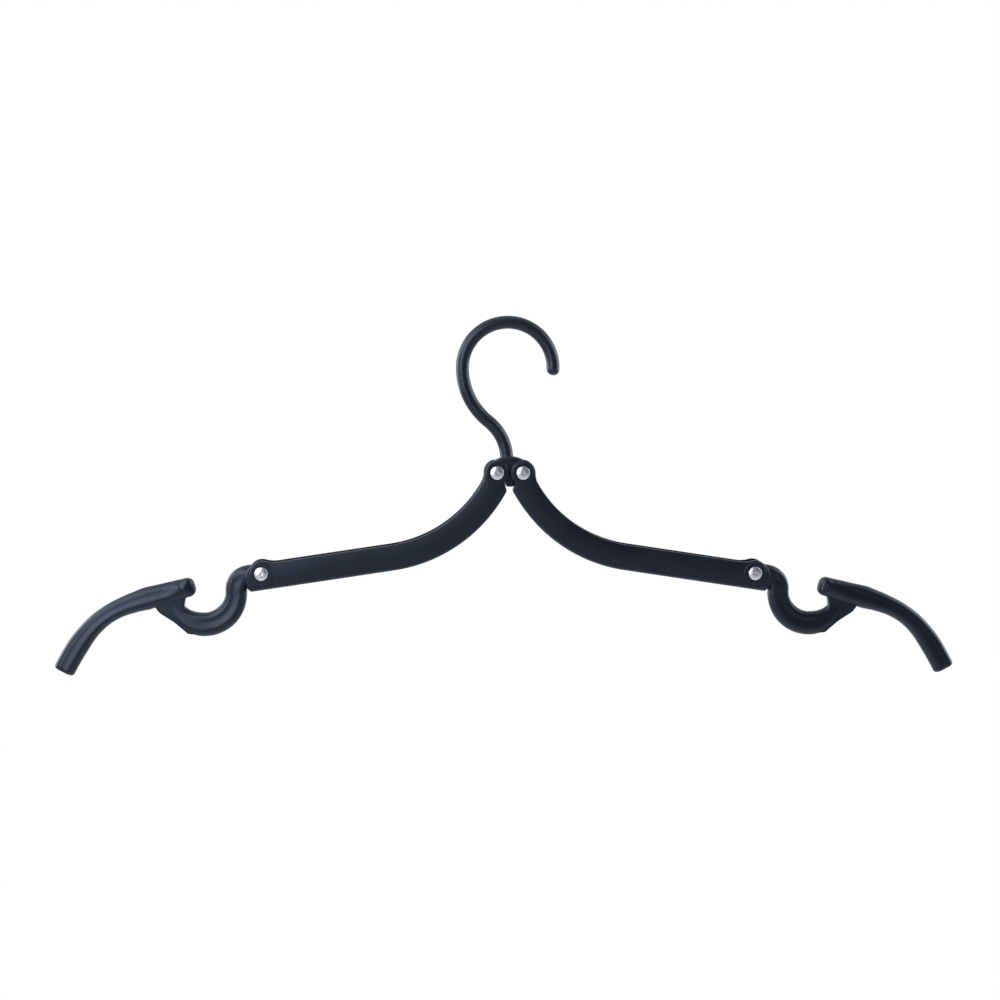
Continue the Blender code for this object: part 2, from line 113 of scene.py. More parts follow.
def linear(code: str) -> tuple[float, float, float, float]:
    """Turns an sRGB hex colour into the linear colour that a shader takes.

    Args:
        code: Six hex digits after a hash sign.

    Returns:
        Red, green, blue and an alpha of one.
    """
    values = [int(code[at : at + 2], 16) / 255 for at in (1, 3, 5)]
    red, green, blue = (v / 12.92 if v <= 0.04045 else ((v + 0.055) / 1.055) ** 2.4 for v in values)
    return red, green, blue, 1.0


def feed(tree: NodeTree, node: Node, inputs: dict) -> None:
    """Feeds a node's inputs.

    Args:
        tree: The node's tree.
        node: The node.
        inputs: For each input, by name or number, a socket to link from or a value to set.
    """
    for key, value in inputs.items():
        if isinstance(value, NodeSocket):
            tree.links.new(value, node.inputs[key])
        else:
            node.inputs[key].default_value = value


def add_node(tree: NodeTree, kind: str, inputs: dict | None = None, **settings: object) -> Node:
    """Adds one node to a tree, with its settings and what feeds its inputs.

    Args:
        tree: The tree that takes the node.
        kind: The node's type name.
        inputs: For each input, by name or number, a socket to link from or a value to set.
        **settings: Attributes of the node, such as its operation.

    Returns:
        The new node.
    """
    node = tree.nodes.new(kind)
    for name, value in settings.items():
        setattr(node, name, value)
    feed(tree, node, inputs or {})
    return node


def maths(tree: NodeTree, operation: str, *values: NodeSocket | float) -> NodeSocket:
    """Adds one sum to a tree and returns its result."""
    return add_node(tree, "ShaderNodeMath", dict(enumerate(values)), operation=operation).outputs["Value"]


def mapped(tree: NodeTree, value: NodeSocket, source: Point, target: Point, kind: str = "LINEAR") -> NodeSocket:
    """Maps a value from a source range to a target range, in a straight line or as a smooth step."""
    inputs = dict(zip(("Value", "From Min", "From Max", "To Min", "To Max"), (value, *source, *target)))
    return add_node(tree, "ShaderNodeMapRange", inputs, interpolation_type=kind).outputs["Result"]


def part_of(tree: NodeTree, vector: NodeSocket, axis: str) -> NodeSocket:
    """Takes one part of a vector: X, Y or Z."""
    return add_node(tree, "ShaderNodeSeparateXYZ", {"Vector": vector}).outputs[axis]


def tinted(tree: NodeTree, share: NodeSocket, first: str, second: str) -> NodeSocket:
    """Adds a mix of two colours to a tree.

    Args:
        tree: The tree.
        share: How much of the second colour it holds.
        first: The first colour as an sRGB hex code.
        second: The second one.

    Returns:
        The mixed colour.
    """
    node = add_node(tree, "ShaderNodeMix", {"Factor": share}, data_type="RGBA")
    # The node's colour sockets share their names with its other ones, so they are found by type
    for socket in node.inputs:
        if socket.type == "RGBA":
            socket.default_value = linear(first if socket.name == "A" else second)
    return next(socket for socket in node.outputs if socket.type == "RGBA")


def per_mm(size_mm: float) -> float:
    """The scale that makes a pattern on object coordinates repeat about once in this many millimetres."""
    return 1.0 / (size_mm * MM)


@dataclass(frozen=True)
class Noise:
    """A cloudy pattern: its size, how many octaves it has and how strongly the finer ones show."""

    size_mm: float
    detail: float
    roughness: float

    def make(self, tree: NodeTree, place: NodeSocket) -> NodeSocket:
        """Adds the pattern to a tree and returns its value."""
        inputs = {"Vector": place, "Scale": per_mm(self.size_mm), "Detail": self.detail, "Roughness": self.roughness}
        return add_node(tree, "ShaderNodeTexNoise", inputs).outputs["Fac"]


@dataclass(frozen=True)
class Finish:
    """A finish whose colour, gloss and relief follow patterns on the piece."""

    name: str
    relief_share: float
    relief_scale: float

    def patterns(self, tree: NodeTree, place: NodeSocket) -> tuple[dict, NodeSocket]:
        """Builds the shader's inputs by name, and the relief's height; each finish has its own."""
        raise NotImplementedError

    def make(self) -> Material:
        """Builds the material.

        Returns:
            The finished material.
        """
        material = bpy.data.materials.new(self.name)
        material.use_nodes = True
        tree = material.node_tree
        inputs, height = self.patterns(tree, add_node(tree, "ShaderNodeTexCoord").outputs["Object"])
        relief = {"Height": height, "Strength": self.relief_share, "Distance": self.relief_scale}
        inputs["Normal"] = add_node(tree, "ShaderNodeBump", relief).outputs["Normal"]
        feed(tree, tree.nodes["Principled BSDF"], inputs)
        return material


@dataclass(frozen=True)
class MouldedPlastic(Finish):
    """Black polypropylene from a spark-eroded tool: satin, with soft broad highlights and a faint blue cast."""

    name: str = "satin_black_polypropylene"
    relief_share: float = 0.55
    relief_scale: float = 1.0
    dark: str = "#0a0d14"
    pale: str = "#10151c"
    sheen_tint: str = "#c6dbff"
    ior: float = 1.50
    smooth_roughness: float = 0.28
    rough_roughness: float = 0.36
    flow: Noise = Noise(14.0, 3.0, 0.5)
    scuffs: Noise = Noise(2.2, 6.0, 0.62)
    scuff_turn: Place = (0.3, 0.5, 0.4)
    scuff_stretch: Place = (1.0, 0.25, 3.0)
    scuff_range: Point = (0.12, 0.38)
    grain: Noise = Noise(0.55, 1.0, 0.5)
    grain_depth: float = 0.0016 * MM
    parting_half: float = 0.12 * MM
    parting_depth: float = 0.012 * MM

    def patterns(self, tree: NodeTree, place: NodeSocket) -> tuple[dict, NodeSocket]:
        """Builds the patterns of the plastic.

        Args:
            tree: The material's tree.
            place: The place on the piece.

        Returns:
            The shader's inputs by name, and the relief's height.
        """
        # Slow changes in colour and gloss, left where the melt met itself in the mould
        flow = self.flow.make(tree, place)
        # Light scuffs from handling, which only change the gloss
        stretch = {"Vector": place, "Rotation": self.scuff_turn, "Scale": self.scuff_stretch}
        stretched = add_node(tree, "ShaderNodeMapping", stretch).outputs["Vector"]
        scuffed = maths(tree, "MULTIPLY", flow, self.scuffs.make(tree, stretched))
        # The tool's grain: really about a fifth of this size, drawn as coarse as the render can show
        grain = self.grain.make(tree, place)
        # The parting line, where the tool's halves met on the middle plane
        aside = maths(tree, "ABSOLUTE", part_of(tree, place, "Y"))
        seam = mapped(tree, aside, (0.0, self.parting_half), (self.parting_depth, 0.0), "SMOOTHSTEP")
        inputs = {
            "Base Color": tinted(tree, flow, self.dark, self.pale),
            "Roughness": mapped(tree, scuffed, self.scuff_range, (self.smooth_roughness, self.rough_roughness)),
            "IOR": self.ior,
            "Specular Tint": linear(self.sheen_tint),
        }
        return inputs, maths(tree, "MULTIPLY_ADD", grain, self.grain_depth, seam)


@dataclass(frozen=True)
class PlatedSteel(Finish):
    """Nickel-plated steel with its heads spun down by a rolling tool, which leaves fine rings round the axis."""

    name: str = "nickel_plated_steel"
    relief_share: float = 0.8
    relief_scale: float = 0.005 * MM
    bright: str = "#eeeffa"
    dull: str = "#b2b4c8"
    polished_roughness: float = 0.22
    rubbed_roughness: float = 0.34
    ring_mm: float = 0.32
    clouds: Noise = Noise(1.6, 4.0, 0.6)
    ring_range: Point = (-0.6, 0.6)
    radius_attribute: str = "turned_radius"

    def patterns(self, tree: NodeTree, place: NodeSocket) -> tuple[dict, NodeSocket]:
        """Builds the patterns of the plated steel.

        Args:
            tree: The material's tree.
            place: The place on the piece.

        Returns:
            The shader's inputs by name, and the relief's height.
        """
        radius = add_node(tree, "ShaderNodeAttribute", attribute_name=self.radius_attribute).outputs["Fac"]
        wave = maths(tree, "SINE", maths(tree, "MULTIPLY", radius, 2 * math.pi * per_mm(self.ring_mm)))
        # Clouding in the plating, which breaks the rings up as a worn roller does
        broken = maths(tree, "MULTIPLY", wave, self.clouds.make(tree, place))
        share = mapped(tree, broken, self.ring_range, (0.0, 1.0))
        inputs = {
            "Base Color": tinted(tree, share, self.dull, self.bright),
            "Roughness": mapped(tree, share, (0.0, 1.0), (self.rubbed_roughness, self.polished_roughness)),
            "Metallic": 1.0,
        }
        return inputs, broken


def soft(part: float) -> float:
    """A share that leaves zero and reaches one softly."""
    return part * part * (3.0 - 2.0 * part)


def soft_share(at: float, start: float, end: float) -> float:
    """A share that goes softly from zero at the start to one at the end."""
    return soft(max(0.0, min(1.0, (at - start) / (end - start))))


def quarter_turn(steps: int) -> list[float]:
    """The angles of a quarter turn in equal steps, both ends included."""
    return [math.pi / 2 * step / steps for step in range(steps + 1)]


def full_turn(steps: int) -> list[float]:
    """The angles of a whole turn in equal steps, the last one left out."""
    return [2 * math.pi * step / steps for step in range(steps)]


def there_and_back(profile: Sequence[Point]) -> list[Point]:
    """A profile of radius and Y, followed by its mirror image behind the middle plane."""
    return [*profile, *((r, -y) for r, y in reversed(profile))]


@dataclass(frozen=True)
class Station:
    """One place on a swept bar: its middle, heading, half width and depth, and its section's power and scoop."""

    x: float
    z: float
    heading: float
    wide: float
    deep: float
    section: float
    scoop: float


class Line:
    """A line drawn in the XZ plane from a start and a heading, with a point every so often."""

    spacing: float = 0.45 * MM

    def __init__(self, x: float, z: float, heading: float) -> None:
        """Starts the line at a point, heading at an angle from +X towards +Z."""
        self.points: Ring = [(x, z, heading)]
        self.gone: list[float] = [0.0]

    def _step(self, x: float, z: float, heading: float, length: float) -> None:
        """Adds a point this much further along."""
        self.points.append((x, z, heading))
        self.gone.append(self.gone[-1] + length)

    def run(self, length: float) -> "Line":
        """Draws a straight stretch.

        Args:
            length: How long it is.

        Returns:
            The line itself.
        """
        x, z, heading = self.points[-1]
        count = max(1, math.ceil(length / self.spacing))
        for step in range(1, count + 1):
            along = length * step / count
            self._step(x + along * math.cos(heading), z + along * math.sin(heading), heading, length / count)
        return self

    def turn(self, radius: float, angle: float) -> "Line":
        """Draws an arc.

        Args:
            radius: Its radius.
            angle: How far it turns, to the left where positive.

        Returns:
            The line itself.
        """
        x, z, heading = self.points[-1]
        hand = math.copysign(1.0, angle)
        middle_x = x - hand * radius * math.sin(heading)
        middle_z = z + hand * radius * math.cos(heading)
        count = max(1, math.ceil(abs(angle) * radius / self.spacing))
        for step in range(1, count + 1):
            now = heading + angle * step / count
            place = (middle_x + hand * radius * math.sin(now), middle_z - hand * radius * math.cos(now))
            self._step(*place, now, abs(angle) * radius / count)
        return self


def end_inset(from_end: float, rounding: float) -> float:
    """How far the surface is drawn in at this distance from a rounded end.

    Args:
        from_end: The distance from the end.
        rounding: The radius of the end's edge, or zero for a cut end.

    Returns:
        The inset, which is the whole radius at the end itself.
    """
    if from_end >= rounding:
        return 0.0
    left = 1.0 - from_end / rounding
    return rounding * (1.0 - math.sqrt(max(0.0, 1.0 - left * left)))


def stations_along(
    points: Sequence[Place],
    gone: Sequence[float],
    size: Callable[[float], Size],
    start_round: float = 0.0,
    end_round: float = 0.0,
) -> list[Station]:
    """Turns a line into the stations of a bar that is closed at both ends, closer together where it rounds off.

    Args:
        points: The line's points with their headings.
        gone: The length up to each point.
        size: Gives the half width, the half depth, the section's power and its scoop at a length from the start.
        start_round: The edge radius of the first end.
        end_round: The edge radius of the last end.

    Returns:
        The stations, with one of no size at each end that closes it.
    """
    total = gone[-1]
    steps = [1.0 - math.cos(angle) for angle in quarter_turn(END_STEPS)[:-1]]
    places = [at for at in gone if start_round <= at <= total - end_round]
    places += [start_round * step for step in steps] if start_round else []
    places += [total - end_round * step for step in steps] if end_round else []
    rows = []
    row = 0
    for at in sorted(places):
        while row < len(gone) - 2 and gone[row + 1] < at:
            row += 1
        part = (at - gone[row]) / (gone[row + 1] - gone[row])
        x, z, heading = (a + (b - a) * part for a, b in zip(points[row], points[row + 1]))
        inset = max(end_inset(at, start_round), end_inset(total - at, end_round))
        wide, deep, section, scoop = size(at)
        rows.append(Station(x, z, heading, wide - inset, deep - inset, section, scoop))
    return [replace(rows[0], wide=0.0, deep=0.0), *rows, replace(rows[-1], wide=0.0, deep=0.0)]


def tree_socket(tree: NodeTree, name: str, kind: str, way: str = "INPUT") -> str:
    """Adds a socket of this kind to a geometry tree's interface and returns its identifier."""
    return tree.interface.new_socket(name=name, in_out=way, socket_type="NodeSocket" + kind).identifier


class SkinTree:
    """A geometry tree that wraps a grid round rows of points, one row of the grid for each, and dresses it."""

    rows: NodeSocket
    row: NodeSocket
    angle: NodeSocket

    def __init__(self, name: str, sockets: dict[str, str]) -> None:
        """Starts the tree and keeps the identifiers of its inputs.

        Args:
            name: The tree's name.
            sockets: The kinds of the inputs that this tree has and others lack, by name, its geometry first.
        """
        self.tree = bpy.data.node_groups.new(name, "GeometryNodeTree")
        kinds = sockets | {"Sides": "Int", "Merge distance": "Float", "Finish": "Material"}
        self.keys = {key: tree_socket(self.tree, key, kind) for key, kind in kinds.items()}
        tree_socket(self.tree, "Made", "Geometry", "OUTPUT")
        self.given = add_node(self.tree, "NodeGroupInput").outputs

    def grid(self, rows: NodeSocket) -> NodeSocket:
        """Adds the grid and keeps the row of each of its points and its angle round the row.

        Args:
            rows: The geometry whose points the rows stand for.

        Returns:
            The grid.
        """
        tree, sides = self.tree, self.given["Sides"]
        count = add_node(tree, "GeometryNodeAttributeDomainSize", {"Geometry": rows}).outputs["Point Count"]
        columns = maths(tree, "ADD", sides, 1.0)
        index = add_node(tree, "GeometryNodeInputIndex").outputs["Index"]
        self.rows = rows
        self.row = maths(tree, "FLOOR", maths(tree, "DIVIDE", index, columns))
        part = maths(tree, "DIVIDE", maths(tree, "MODULO", index, columns), sides)
        self.angle = maths(tree, "MULTIPLY", part, 2 * math.pi)
        return add_node(tree, "GeometryNodeMeshGrid", {"Vertices X": count, "Vertices Y": columns}).outputs["Mesh"]

    def sampled(self, value: NodeSocket, kind: str) -> NodeSocket:
        """Reads a value of the point that a row of the grid stands for."""
        inputs = {"Geometry": self.rows, "Value": value, "Index": self.row}
        return add_node(self.tree, "GeometryNodeSampleIndex", inputs, data_type=kind).outputs["Value"]

    def attribute(self, name: str, kind: str = "FLOAT") -> NodeSocket:
        """Reads a named attribute of the point that a row of the grid stands for."""
        named = add_node(self.tree, "GeometryNodeInputNamedAttribute", {"Name": name}, data_type=kind)
        return self.sampled(named.outputs["Attribute"], kind)

    def position(self) -> NodeSocket:
        """Reads the place of the point that a row of the grid stands for."""
        return self.sampled(add_node(self.tree, "GeometryNodeInputPosition").outputs["Position"], "FLOAT_VECTOR")

    def close(self, grid: NodeSocket, place: NodeSocket, points: NodeSocket | None = None) -> None:
        """Moves the grid's points to their places, closes the skin, sets copies of it if asked and dresses it.

        Args:
            grid: The grid.
            place: Where each of its points goes.
            points: What takes a copy at each point, or nothing for the skin as it lies.
        """
        skin = add_node(self.tree, "GeometryNodeSetPosition", {"Geometry": grid, "Position": place})
        inputs = {"Geometry": skin.outputs["Geometry"], "Distance": self.given["Merge distance"]}
        shape = add_node(self.tree, "GeometryNodeMergeByDistance", inputs).outputs["Geometry"]
        if points is not None:
            inputs = {"Points": points, "Instance": shape}
            shape = add_node(self.tree, "GeometryNodeInstanceOnPoints", inputs).outputs["Instances"]
        real = add_node(self.tree, "GeometryNodeRealizeInstances", {"Geometry": shape}).outputs["Geometry"]
        inputs = {"Geometry": real, "Material": self.given["Finish"]}
        dressed = add_node(self.tree, "GeometryNodeSetMaterial", inputs).outputs["Geometry"]
        add_node(self.tree, "NodeGroupOutput", {"Made": dressed})

    def run(self, made: Object, values: dict[str, object]) -> Object:
        """Runs the tree on an object.

        Args:
            made: The object whose mesh the tree takes.
            values: The inputs' values by name.

        Returns:
            The same object with the plain mesh that the tree makes.
        """
        modifier = made.modifiers.new(self.tree.name, "NODES")
        modifier.node_group = self.tree
        for key, value in (values | {"Merge distance": MERGE}).items():
            modifier[self.keys[key]] = value
        return settled(made)


class SweptBarTree(SkinTree):
    """Skins a bar over its stations, with a soft-cornered section at each that is scooped along its faces."""

    sides: int = 48
    scoop_place: float = 0.20
    scoop_width: float = 0.48

    def __init__(self) -> None:
        """Builds the tree."""
        super().__init__("swept_bar", {"Stations": "Geometry", "Scoop place": "Float", "Scoop width": "Float"})
        tree, grid = self.tree, self.grid(self.given["Stations"])
        power = maths(tree, "DIVIDE", ELLIPSE, self.attribute("section"))
        across, depthwise = (self.pushed(wave, power) for wave in ("COSINE", "SINE"))
        place = self.position()
        ways = (("across", across, "half_width", 1.0), ("depthwise", depthwise, "half_depth", self.left(across)))
        for direction, share, size, left in ways:
            reach = maths(tree, "MULTIPLY", maths(tree, "MULTIPLY", share, self.attribute(size)), left)
            inputs = {0: self.attribute(direction, "FLOAT_VECTOR"), "Scale": reach}
            moved = add_node(tree, "ShaderNodeVectorMath", inputs, operation="SCALE").outputs["Vector"]
            place = add_node(tree, "ShaderNodeVectorMath", {0: place, 1: moved}, operation="ADD").outputs["Vector"]
        self.close(grid, place)

    def pushed(self, wave: str, power: NodeSocket) -> NodeSocket:
        """Works out how far out a point of the section lies, pushed towards the section's corners.

        Args:
            wave: COSINE for its place across, SINE for the one in depth.
            power: What the wave is raised to.

        Returns:
            The place, from -1 to 1.
        """
        unit = maths(self.tree, wave, self.angle)
        length = maths(self.tree, "POWER", maths(self.tree, "ABSOLUTE", unit), power)
        return maths(self.tree, "MULTIPLY", length, maths(self.tree, "SIGN", unit))

    def left(self, across: NodeSocket) -> NodeSocket:
        """Works out the share of the section's depth that the scoop along its faces leaves.

        Args:
            across: How far across the section the point lies, from -1 to 1.

        Returns:
            The share, one where nothing is scooped out.
        """
        aside = maths(self.tree, "SUBTRACT", across, self.given["Scoop place"])
        span = maths(self.tree, "DIVIDE", aside, self.given["Scoop width"])
        fall = maths(self.tree, "MULTIPLY", maths(self.tree, "MULTIPLY", span, span), -1.0)
        taken = maths(self.tree, "MULTIPLY", maths(self.tree, "EXPONENT", fall), self.attribute("scoop"))
        return maths(self.tree, "SUBTRACT", 1.0, taken)

    def bar(self, name: str, stations: Sequence[Station], finish: Material) -> Object:
        """Makes one closed bar.

        Args:
            name: The object's name.
            stations: The bar's places in order.
            finish: Its material.

        Returns:
            The bar as a plain mesh.
        """
        mesh = thread(name + "_stations", [(s.x, 0.0, s.z) for s in stations])
        rows = {
            "half_width": [s.wide for s in stations],
            "half_depth": [s.deep for s in stations],
            "section": [s.section for s in stations],
            "scoop": [s.scoop for s in stations],
        }
        for key, values in rows.items():
            mesh.attributes.new(key, "FLOAT", "POINT").data.foreach_set("value", values)
        across = [value for s in stations for value in (-math.sin(s.heading), 0.0, math.cos(s.heading))]
        for key, values in (("across", across), ("depthwise", [0.0, 1.0, 0.0] * len(stations))):
            mesh.attributes.new(key, "FLOAT_VECTOR", "POINT").data.foreach_set("vector", values)
        scoop = {"Scoop place": self.scoop_place, "Scoop width": self.scoop_width}
        return self.run(linked(name, mesh), {"Sides": self.sides, "Finish": finish, **scoop})


class TurnedSetTree(SkinTree):
    """Turns a profile about Y and sets one copy at each given place."""

    def __init__(self, radius_attribute: str) -> None:
        """Builds the tree.

        Args:
            radius_attribute: The attribute that keeps each point's distance from its own axis.
        """
        super().__init__("turned_set", {"Places": "Geometry", "Profile": "Object"})
        info = add_node(self.tree, "GeometryNodeObjectInfo", {"Object": self.given["Profile"]})
        grid = self.grid(info.outputs["Geometry"])
        place = self.position()
        inputs = {"Vector": place, "Axis": (0.0, 1.0, 0.0), "Angle": self.angle}
        turned = add_node(self.tree, "ShaderNodeVectorRotate", inputs, rotation_type="AXIS_ANGLE").outputs["Vector"]
        inputs = {"Geometry": grid, "Name": radius_attribute, "Value": part_of(self.tree, place, "X")}
        marked = add_node(self.tree, "GeometryNodeStoreNamedAttribute", inputs, data_type="FLOAT", domain="POINT")
        self.close(marked.outputs["Geometry"], turned, self.given["Places"])


def thread(name: str, points: Sequence[Place]) -> Mesh:
    """Makes a mesh of points, each joined to the next.

    Args:
        name: The mesh's name.
        points: The points in order.

    Returns:
        The mesh.
    """
    mesh = bpy.data.meshes.new(name)
    mesh.from_pydata(points, [(at, at + 1) for at in range(len(points) - 1)], [])
    return mesh


def linked(name: str, data: bpy.types.ID) -> Object:
    """Makes an object of a mesh, a lamp or a camera and links it to the scene.

    Args:
        name: The object's name.
        data: What it holds.

    Returns:
        The object.
    """
    made = bpy.data.objects.new(name, data)
    bpy.context.scene.collection.objects.link(made)
    return made


def solid(name: str, points: Sequence[Place], faces: Sequence[Sequence[int]]) -> Object:
    """Makes an object of points and faces.

    Args:
        name: The object's name.
        points: Its points.
        faces: Its faces, as the numbers of their points.

    Returns:
        The object, whose faces point outwards.
    """
    mesh = bpy.data.meshes.new(name)
    mesh.from_pydata(points, [], faces)
    return settled(linked(name, mesh))


def walls(rows: int, count: int, round_again: bool = False) -> list[list[int]]:
    """Lists the faces between rings of points.

    Args:
        rows: How many rings there are.
        count: How many points each ring has.
        round_again: Whether the last ring is joined to the first.

    Returns:
        The faces, as the numbers of their points.
    """
    pairs = [(row * count, (row + 1) % rows * count) for row in range(rows if round_again else rows - 1)]
    steps = [(at, (at + 1) % count) for at in range(count)]
    return [[low + at, high + at, high + after, low + after] for low, high in pairs for at, after in steps]


def settled(made: Object) -> Object:
    """Turns an object with modifiers into a plain mesh whose faces point outwards.

    Args:
        made: The object, with its modifiers live.

    Returns:
        The same object with its evaluated mesh and no modifier.
    """
    bpy.context.view_layer.update()
    graph = bpy.context.evaluated_depsgraph_get()
    mesh = bpy.data.meshes.new_from_object(made.evaluated_get(graph), preserve_all_data_layers=True, depsgraph=graph)
    made.modifiers.clear()
    made.data = mesh
    mesh.name = made.name
    shape = bmesh.new()
    shape.from_mesh(mesh)
    bmesh.ops.recalc_face_normals(shape, faces=shape.faces[:])
    shape.to_mesh(mesh)
    shape.free()
    return made


def filling(outline: Sequence[Point], spacing: float) -> tuple[list[Point], list[tuple[int, ...]]]:
    """Fills an outline with even triangles, so that its face can be given a crown.

    Args:
        outline: The outline's points.
        spacing: How far apart the points inside it are.

    Returns:
        The points inside, and the faces, which number the outline's points first.
    """
    edges = list(zip(outline, [*outline[1:], outline[0]]))
    low = [min(point[axis] for point in outline) for axis in (0, 1)]
    high = [max(point[axis] for point in outline) for axis in (0, 1)]
    inside = []
    for row in range(1, int((high[1] - low[1]) / (spacing * ROW_PITCH)) + 1):
        z = low[1] + row * spacing * ROW_PITCH
        crossings = sorted(
            a[0] + (b[0] - a[0]) * (z - a[1]) / (b[1] - a[1]) for a, b in edges if (a[1] > z) != (b[1] > z)
        )
        close = [(a, b) for a, b in edges if min(a[1], b[1]) - spacing < z < max(a[1], b[1]) + spacing]
        for start, end in zip(crossings[::2], crossings[1::2]):
            for column in range(math.ceil((start - low[0]) / spacing), int((end - low[0]) / spacing) + 1):
                x = low[0] + (column + 0.5 * (row % 2)) * spacing
                if start < x < end and all(apart(Vector((x, z)), Vector(a), Vector(b)) > spacing / 2 for a, b in close):
                    inside.append((x, z))
    points = [Vector(point) for point in [*outline, *inside]]
    inside_only, tolerance = 1, 1e-8
    _, _, faces, origin, _, _ = delaunay_2d_cdt(points, [], [list(range(len(outline)))], inside_only, tolerance)
    return inside, [tuple(origin[at][0] for at in face) for face in faces]


def apart(point: Vector, start: Vector, end: Vector) -> float:
    """Measures how far a point lies from a straight edge.

    Args:
        point: The point.
        start: Where the edge starts.
        end: Where it ends.

    Returns:
        The distance.
    """
    edge = end - start
    share = max(0.0, min(1.0, (point - start).dot(edge) / edge.length_squared))
    return (point - start - edge * share).length


def closed_object(name: str, rings: Sequence[Ring], sag: Callable[[float, float], float] | None = None) -> Object:
    """Makes a closed object through rings of points, with a face on the first and last.

    Args:
        name: The object's name.
        rings: Rings with as many points each.
        sag: How far both faces lie back at an X and Z, or nothing for flat faces.

    Returns:
        The object.
    """
    count = len(rings[0])
    points = [point for ring in rings for point in ring]
    faces = []
    for first, depth, flip in ((0, rings[0][0][1], False), (len(points) - count, rings[-1][0][1], True)):
        if sag is None:
            faces.append([first + at for at in (range(count - 1, -1, -1) if flip else range(count))])
            continue
        start = len(points)
        inside, triangles = filling([(x, z) for x, y, z in points[first : first + count]], FACE_SPACING)
        points += [(x, depth, z) for x, z in inside]
        faces += [[first + at if at < count else start + at - count for at in face] for face in triangles]
    faces += walls(len(rings), count)
    if sag is not None:
        points = [(x, y - math.copysign(sag(x, z), y), z) for x, y, z in points]
    return solid(name, points, faces)


def turned_object(name: str, profile: Sequence[Point], place: Point, sides: int = 72) -> Object:
    """Makes a closed turned object about an axis along Y.

    Args:
        name: The object's name.
        profile: Radius and Y from one end to the other.
        place: X and Z of the axis.
        sides: How many facets go round.

    Returns:
        The object.
    """
    rings = [
        [(place[0] + radius * math.cos(a), y, place[1] + radius * math.sin(a)) for a in full_turn(sides)]
        for radius, y in profile
    ]
    return closed_object(name, rings)


def plate_object(
    name: str,
    outline: Sequence[Point],
    half_depth: float,
    rounding: float | Sequence[float],
    sag: Callable[[float, float], float] | None = None,
) -> Object:
    """Makes a plate of this outline with rounded edges.

    Args:
        name: The object's name.
        outline: The outline in X and Z, anticlockwise from the front.
        half_depth: Half the plate's depth.
        rounding: The edge radius, or one for each point.
        sag: How far both faces lie back at an X and Z, or nothing for flat faces.

    Returns:
        The object.
    """
    radii = [rounding] * len(outline) if isinstance(rounding, float) else list(rounding)
    points = [Vector(point) for point in outline]
    steps_in = []
    for at, here in enumerate(points):
        into = (here - points[at - 1]).normalized()
        out = (points[(at + 1) % len(points)] - here).normalized()
        first, second = Vector((-into.y, into.x)), Vector((-out.y, out.x))
        middle = (first + second).normalized()
        steps_in.append(middle / max(middle.dot(first), MITRE_LIMIT))
    front: list[Ring] = []
    for level in range(-1, EDGE_STEPS + 1):
        angle = math.pi / 2 * max(level, 0) / EDGE_STEPS
        ring = []
        for here, step, radius in zip(points, steps_in, radii):
            # One ring more, on the flat, keeps the edge's shading off the face
            inset = radius * (1.0 - math.sin(angle)) + (BORDER if level < 0 else 0.0)
            place = here + step * inset
            ring.append((place.x, radius * (1.0 - math.cos(angle)) - half_depth, place.y))
        front.append(ring)
    back = [[(x, -y, z) for x, y, z in ring] for ring in reversed(front)]
    return closed_object(name, front + back, sag)


def join_shapes(target: Object, others: Iterable[Object], operation: str) -> Object:
    """Unites other shapes with the target or cuts them from it, and removes them.

    Args:
        target: The shape that stays.
        others: The shapes to unite or to cut away.
        operation: UNION or DIFFERENCE.

    Returns:
        The target.
    """
    others = list(others)
    for other in others:
        cut = target.modifiers.new(other.name, "BOOLEAN")
        cut.operation = operation
        cut.solver = "EXACT"
        cut.object = other
    settled(target)
    for other in others:
        bpy.data.objects.remove(other, do_unlink=True)
    return target


def bored(target: Object, radius: float, half: float, places: Iterable[Point]) -> Object:
    """Bores a piece along Y.

    Args:
        target: The piece.
        radius: The bores' radius.
        half: Half their length.
        places: X and Z of each bore.

    Returns:
        The piece.
    """
    ends = [(radius, -half), (radius, half)]
    return join_shapes(target, [turned_object("bore", ends, place) for place in places], "DIFFERENCE")


def fused(target: Object, others: Sequence[Object]) -> Object:
    """Melts overlapping shapes into one skin whose inner corners are softly filled, as in a mould.

    Args:
        target: The first shape, which keeps its name.
        others: The shapes to melt into it.

    Returns:
        The target.
    """
    shapes = [target, *others]
    with bpy.context.temp_override(
        active_object=target, object=target, selected_objects=shapes, selected_editable_objects=shapes
    ):
        bpy.ops.object.join()
    remesh = target.modifiers.new("skin", "REMESH")
    remesh.mode = "VOXEL"
    remesh.voxel_size = VOXEL
    remesh.use_smooth_shade = True
    soften = target.modifiers.new("soften", "SMOOTH")
    soften.factor = SMOOTHING_SHARE
    soften.iterations = SMOOTHING_ROUNDS
    return settled(target)


def placed(made: Object, origin: Vector, side: Side) -> Object:
    """Moves the mesh of a piece drawn about its own hinge to its place, mirrored on the left side.

    Args:
        made: The piece, drawn for the right side.
        origin: The hinge's place on the right side.
        side: The side that it is for.

    Returns:
        The piece, with its place in its mesh.
    """
    made.data.transform(Matrix.Translation(origin))
    if side is Side.LEFT:
        made.data.transform(Matrix.Diagonal((-1.0, 1.0, 1.0, 1.0)))
        made.data.flip_normals()
    return made


def shaded(made: Object, finish: Material, crease: float) -> Object:
    """Shades a piece smooth up to a crease angle and gives it its one finish.

    Args:
        made: The piece.
        finish: Its finish.
        crease: The angle in degrees above which an edge stays sharp.

    Returns:
        The piece.
    """
    made.data.materials.clear()
    made.data.materials.append(finish)
    made.data.polygons.foreach_set("material_index", [0] * len(made.data.polygons))
    made.data.shade_smooth()
    made.data.set_sharp_from_angle(angle=math.radians(crease))
    return made


